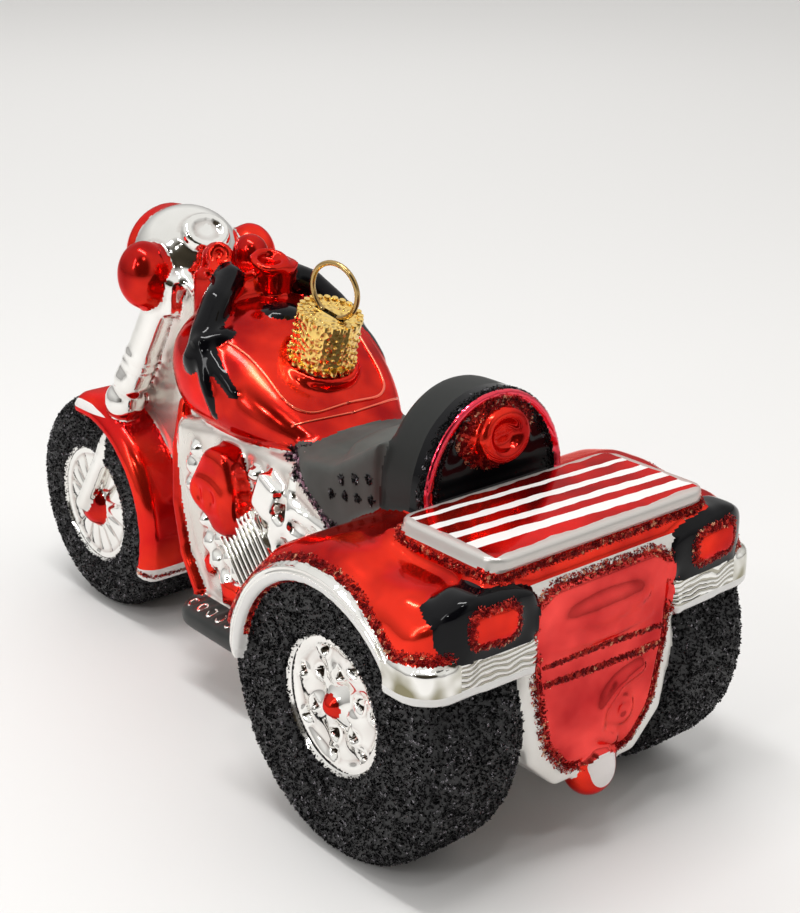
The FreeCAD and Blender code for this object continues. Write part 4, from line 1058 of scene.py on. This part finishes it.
def grain(out, degrees, down, radius):
    """One grain, out mm from the cap's axis and down mm from its top."""
    turn = math.radians(degrees)
    spot = Vector((out * MM * math.cos(turn), out * MM * math.sin(turn), cap_top - down * MM))
    bmesh.ops.create_icosphere(grains, subdivisions=1, radius=radius * MM,
                               matrix=cap_place @ Matrix.Translation(spot))


for column in range(COLUMNS):
    for row in range(ROWS):
        grain(5.02, 360 / COLUMNS * column, 2.2 + 1.15 * row + 0.57 * (column % 2), 0.34 if row % 2 else 0.26)
for k in range(TOP_GRAINS):
    grain(3.2, 360 / TOP_GRAINS * (k + 0.5), 0.42, 0.32)
piece_from("cap_grains", grains, ["gilt_cap"], "hanger")

# %% [markdown]
# The cylinders' cooling fins are the finest relief of the engine. The skin's
# grid is too coarse for them, so each fin is a bar of its own with rounded
# edges, sunk into the cylinder block at the slope of the cylinders.

# %% Cooling fins
FINS = 9
fins = bmesh.new()
lean = Euler((math.radians(-SLOPE), 0, 0)).to_matrix().to_4x4()
for hand in (1, -1):
    for k in range(FINS):
        spot = Matrix.Translation(Vector((hand * 14.6, 0.2 + 1.02 * k, 25.2 + 0.86 * k)) * MM)
        length = 9.4 - 0.25 * abs(k - FINS // 2)
        scaled = Matrix.Diagonal((2.6 * MM, length * MM, 0.62 * MM, 1))
        bmesh.ops.create_cube(fins, size=1.0, matrix=spot @ lean @ scaled)
bmesh.ops.bevel(fins, geom=fins.edges[:], offset=0.20 * MM, segments=3, profile=0.5, affect="EDGES",
                material=-1, clamp_overlap=True)
piece_from("cooling_fins", fins, ["silver_glass"])

# %% [markdown]
# The footboards carry a row of raised marks whose rims shine through the
# black. Each is a small ring, squashed to an oval and sunk by half into the
# board.

# %% Footboard marks
MARKS = 5
board_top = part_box("footboards")[1][2] - 0.5 * MM
marks = bmesh.new()
for hand in (1, -1):
    for k in range(MARKS):
        spot = Matrix.Translation((hand * 16.0 * MM, (-10.6 + 2.6 * k) * MM, board_top))
        turn = Euler((0, 0, hand * 0.5)).to_matrix().to_4x4() @ Matrix.Diagonal((1.5, 0.75, 1, 1))
        pour(ring_form(0.85, 0.22, 20, spot @ turn), marks)
piece_from("board_marks", marks, ["silver_glass"])

# %% [markdown]
# The wheel discs are mirror relief: on the rear ones flame-like ridges swirl
# about the hub between small dark pits, on the front ones there are spokes.
# Moulded relief like this can be sculpted, but a formula is neater. A radial
# line is spun into a round sheet with many rings, and each point is then
# raised or sunk by its radius and angle. The pits are painted dark inside.

# %% Relief discs
PITS = [(0.50, 20 + 60 * k) for k in range(6)] + [(0.78, 8 + 51.4 * k) for k in range(7)]


def swirl_height(ring, turn):
    """Flame ridges that twist as they go out, pits between them, and a flat rim."""
    if ring > 0.90:
        return 0.55
    ridge = 0.42 * math.sin(3 * turn + 6.5 * ring) * math.sin(math.pi * min(1, ring / 0.88))
    ridge += 0.16 * math.sin(7 * turn - 9 * ring)
    for at, degrees in PITS:
        a = math.radians(degrees)
        dy = ring * math.cos(turn) - at * math.cos(a)
        dz = ring * math.sin(turn) - at * math.sin(a)
        away = math.hypot(dy, dz)
        if away < 0.16:
            corner = (math.atan2(dz, dy) + 3 * a) % (2 * math.pi / 3) - math.pi / 3
            pit_edge = 0.052 / math.cos(corner)
            ridge -= 1.1 / (1 + math.exp((away - pit_edge) / 0.012))
            ridge += 0.22 * math.exp(-((away - 0.105) / 0.03) ** 2)
    flat = min(1.0, max(0.0, (ring - 0.80) / 0.10))
    return ridge * (1 - flat) + 0.55 * flat


def spoke_height(ring, turn):
    """Straight spokes between the hub and the rim."""
    if ring > 0.88:
        return 0.7
    spokes = 0.5 * abs(math.cos(7 * turn)) ** 0.7
    return spokes * math.sin(math.pi * min(1.0, ring)) + 0.2


def relief_disc(middle, radius, outward, height, rings, steps):
    """Round relief that faces outward (1 left, -1 right), with a flat back."""
    form = bmesh.new()
    row = [form.verts.new((0, radius * k / rings, 0)) for k in range(1, rings + 1)]
    line = [form.edges.new(pair) for pair in zip(row, row[1:])]
    bmesh.ops.spin(form, geom=row + line, cent=(0, 0, 0), axis=(1, 0, 0), dvec=(0, 0, 0),
                   angle=2 * math.pi, steps=steps, use_merge=True, use_duplicate=False)
    hub = [e for e in form.edges if e.is_boundary and e.verts[0].co.length < radius / rings * 1.5]
    bmesh.ops.contextual_create(form, geom=hub)
    for vert in form.verts:
        ring, turn = math.hypot(vert.co.y, vert.co.z) / radius, math.atan2(vert.co.z, vert.co.y)
        vert.co.x = outward * height(ring, turn) * MM
    rim = [e for e in form.edges if e.is_boundary]
    skirt = bmesh.ops.extrude_edge_only(form, edges=rim)["geom"]
    for vert in [g for g in skirt if isinstance(g, bmesh.types.BMVert)]:
        vert.co.x = -outward * 1.2 * MM
    bmesh.ops.holes_fill(form, edges=[e for e in form.edges if e.is_boundary], sides=0)
    bmesh.ops.translate(form, vec=Vector(middle), verts=form.verts)
    bmesh.ops.recalc_face_normals(form, faces=form.faces)
    return form


for label, tyre, inset, radius, height, rings, steps, pit_depth in (
        ("rear", "rear_tyres", 1.9, 9.9, swirl_height, 44, 168, 0.55),
        ("front", "front_tyre", 1.5, 10.4, spoke_height, 24, 140, 9.0)):
    hub, face_x = middle_of(tyre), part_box(tyre)[1][0] - inset * MM
    for hand, sign in (("left", 1), ("right", -1)):
        form = relief_disc((sign * face_x, hub.y, hub.z), radius * MM, sign, height, rings, steps)
        for face in form.faces:
            deep = abs(face.calc_center_median().x) < face_x - pit_depth * MM
            face.material_index = 1 if deep and abs(face.normal.x) < 0.999 else 0
        piece_from("%s_disc_relief_%s" % (label, hand), form, ["silver_glass", "pit_shadow"])

# %% [markdown]
# The neck, the cap and the wire keep their solids and get their finishes.

# %% Cap, wire and neck
for name in ("neck", "cap", "wire_loop"):
    solids[name].data.materials.clear()
    solids[name].data.materials.append(finishes[slot_of[name]])
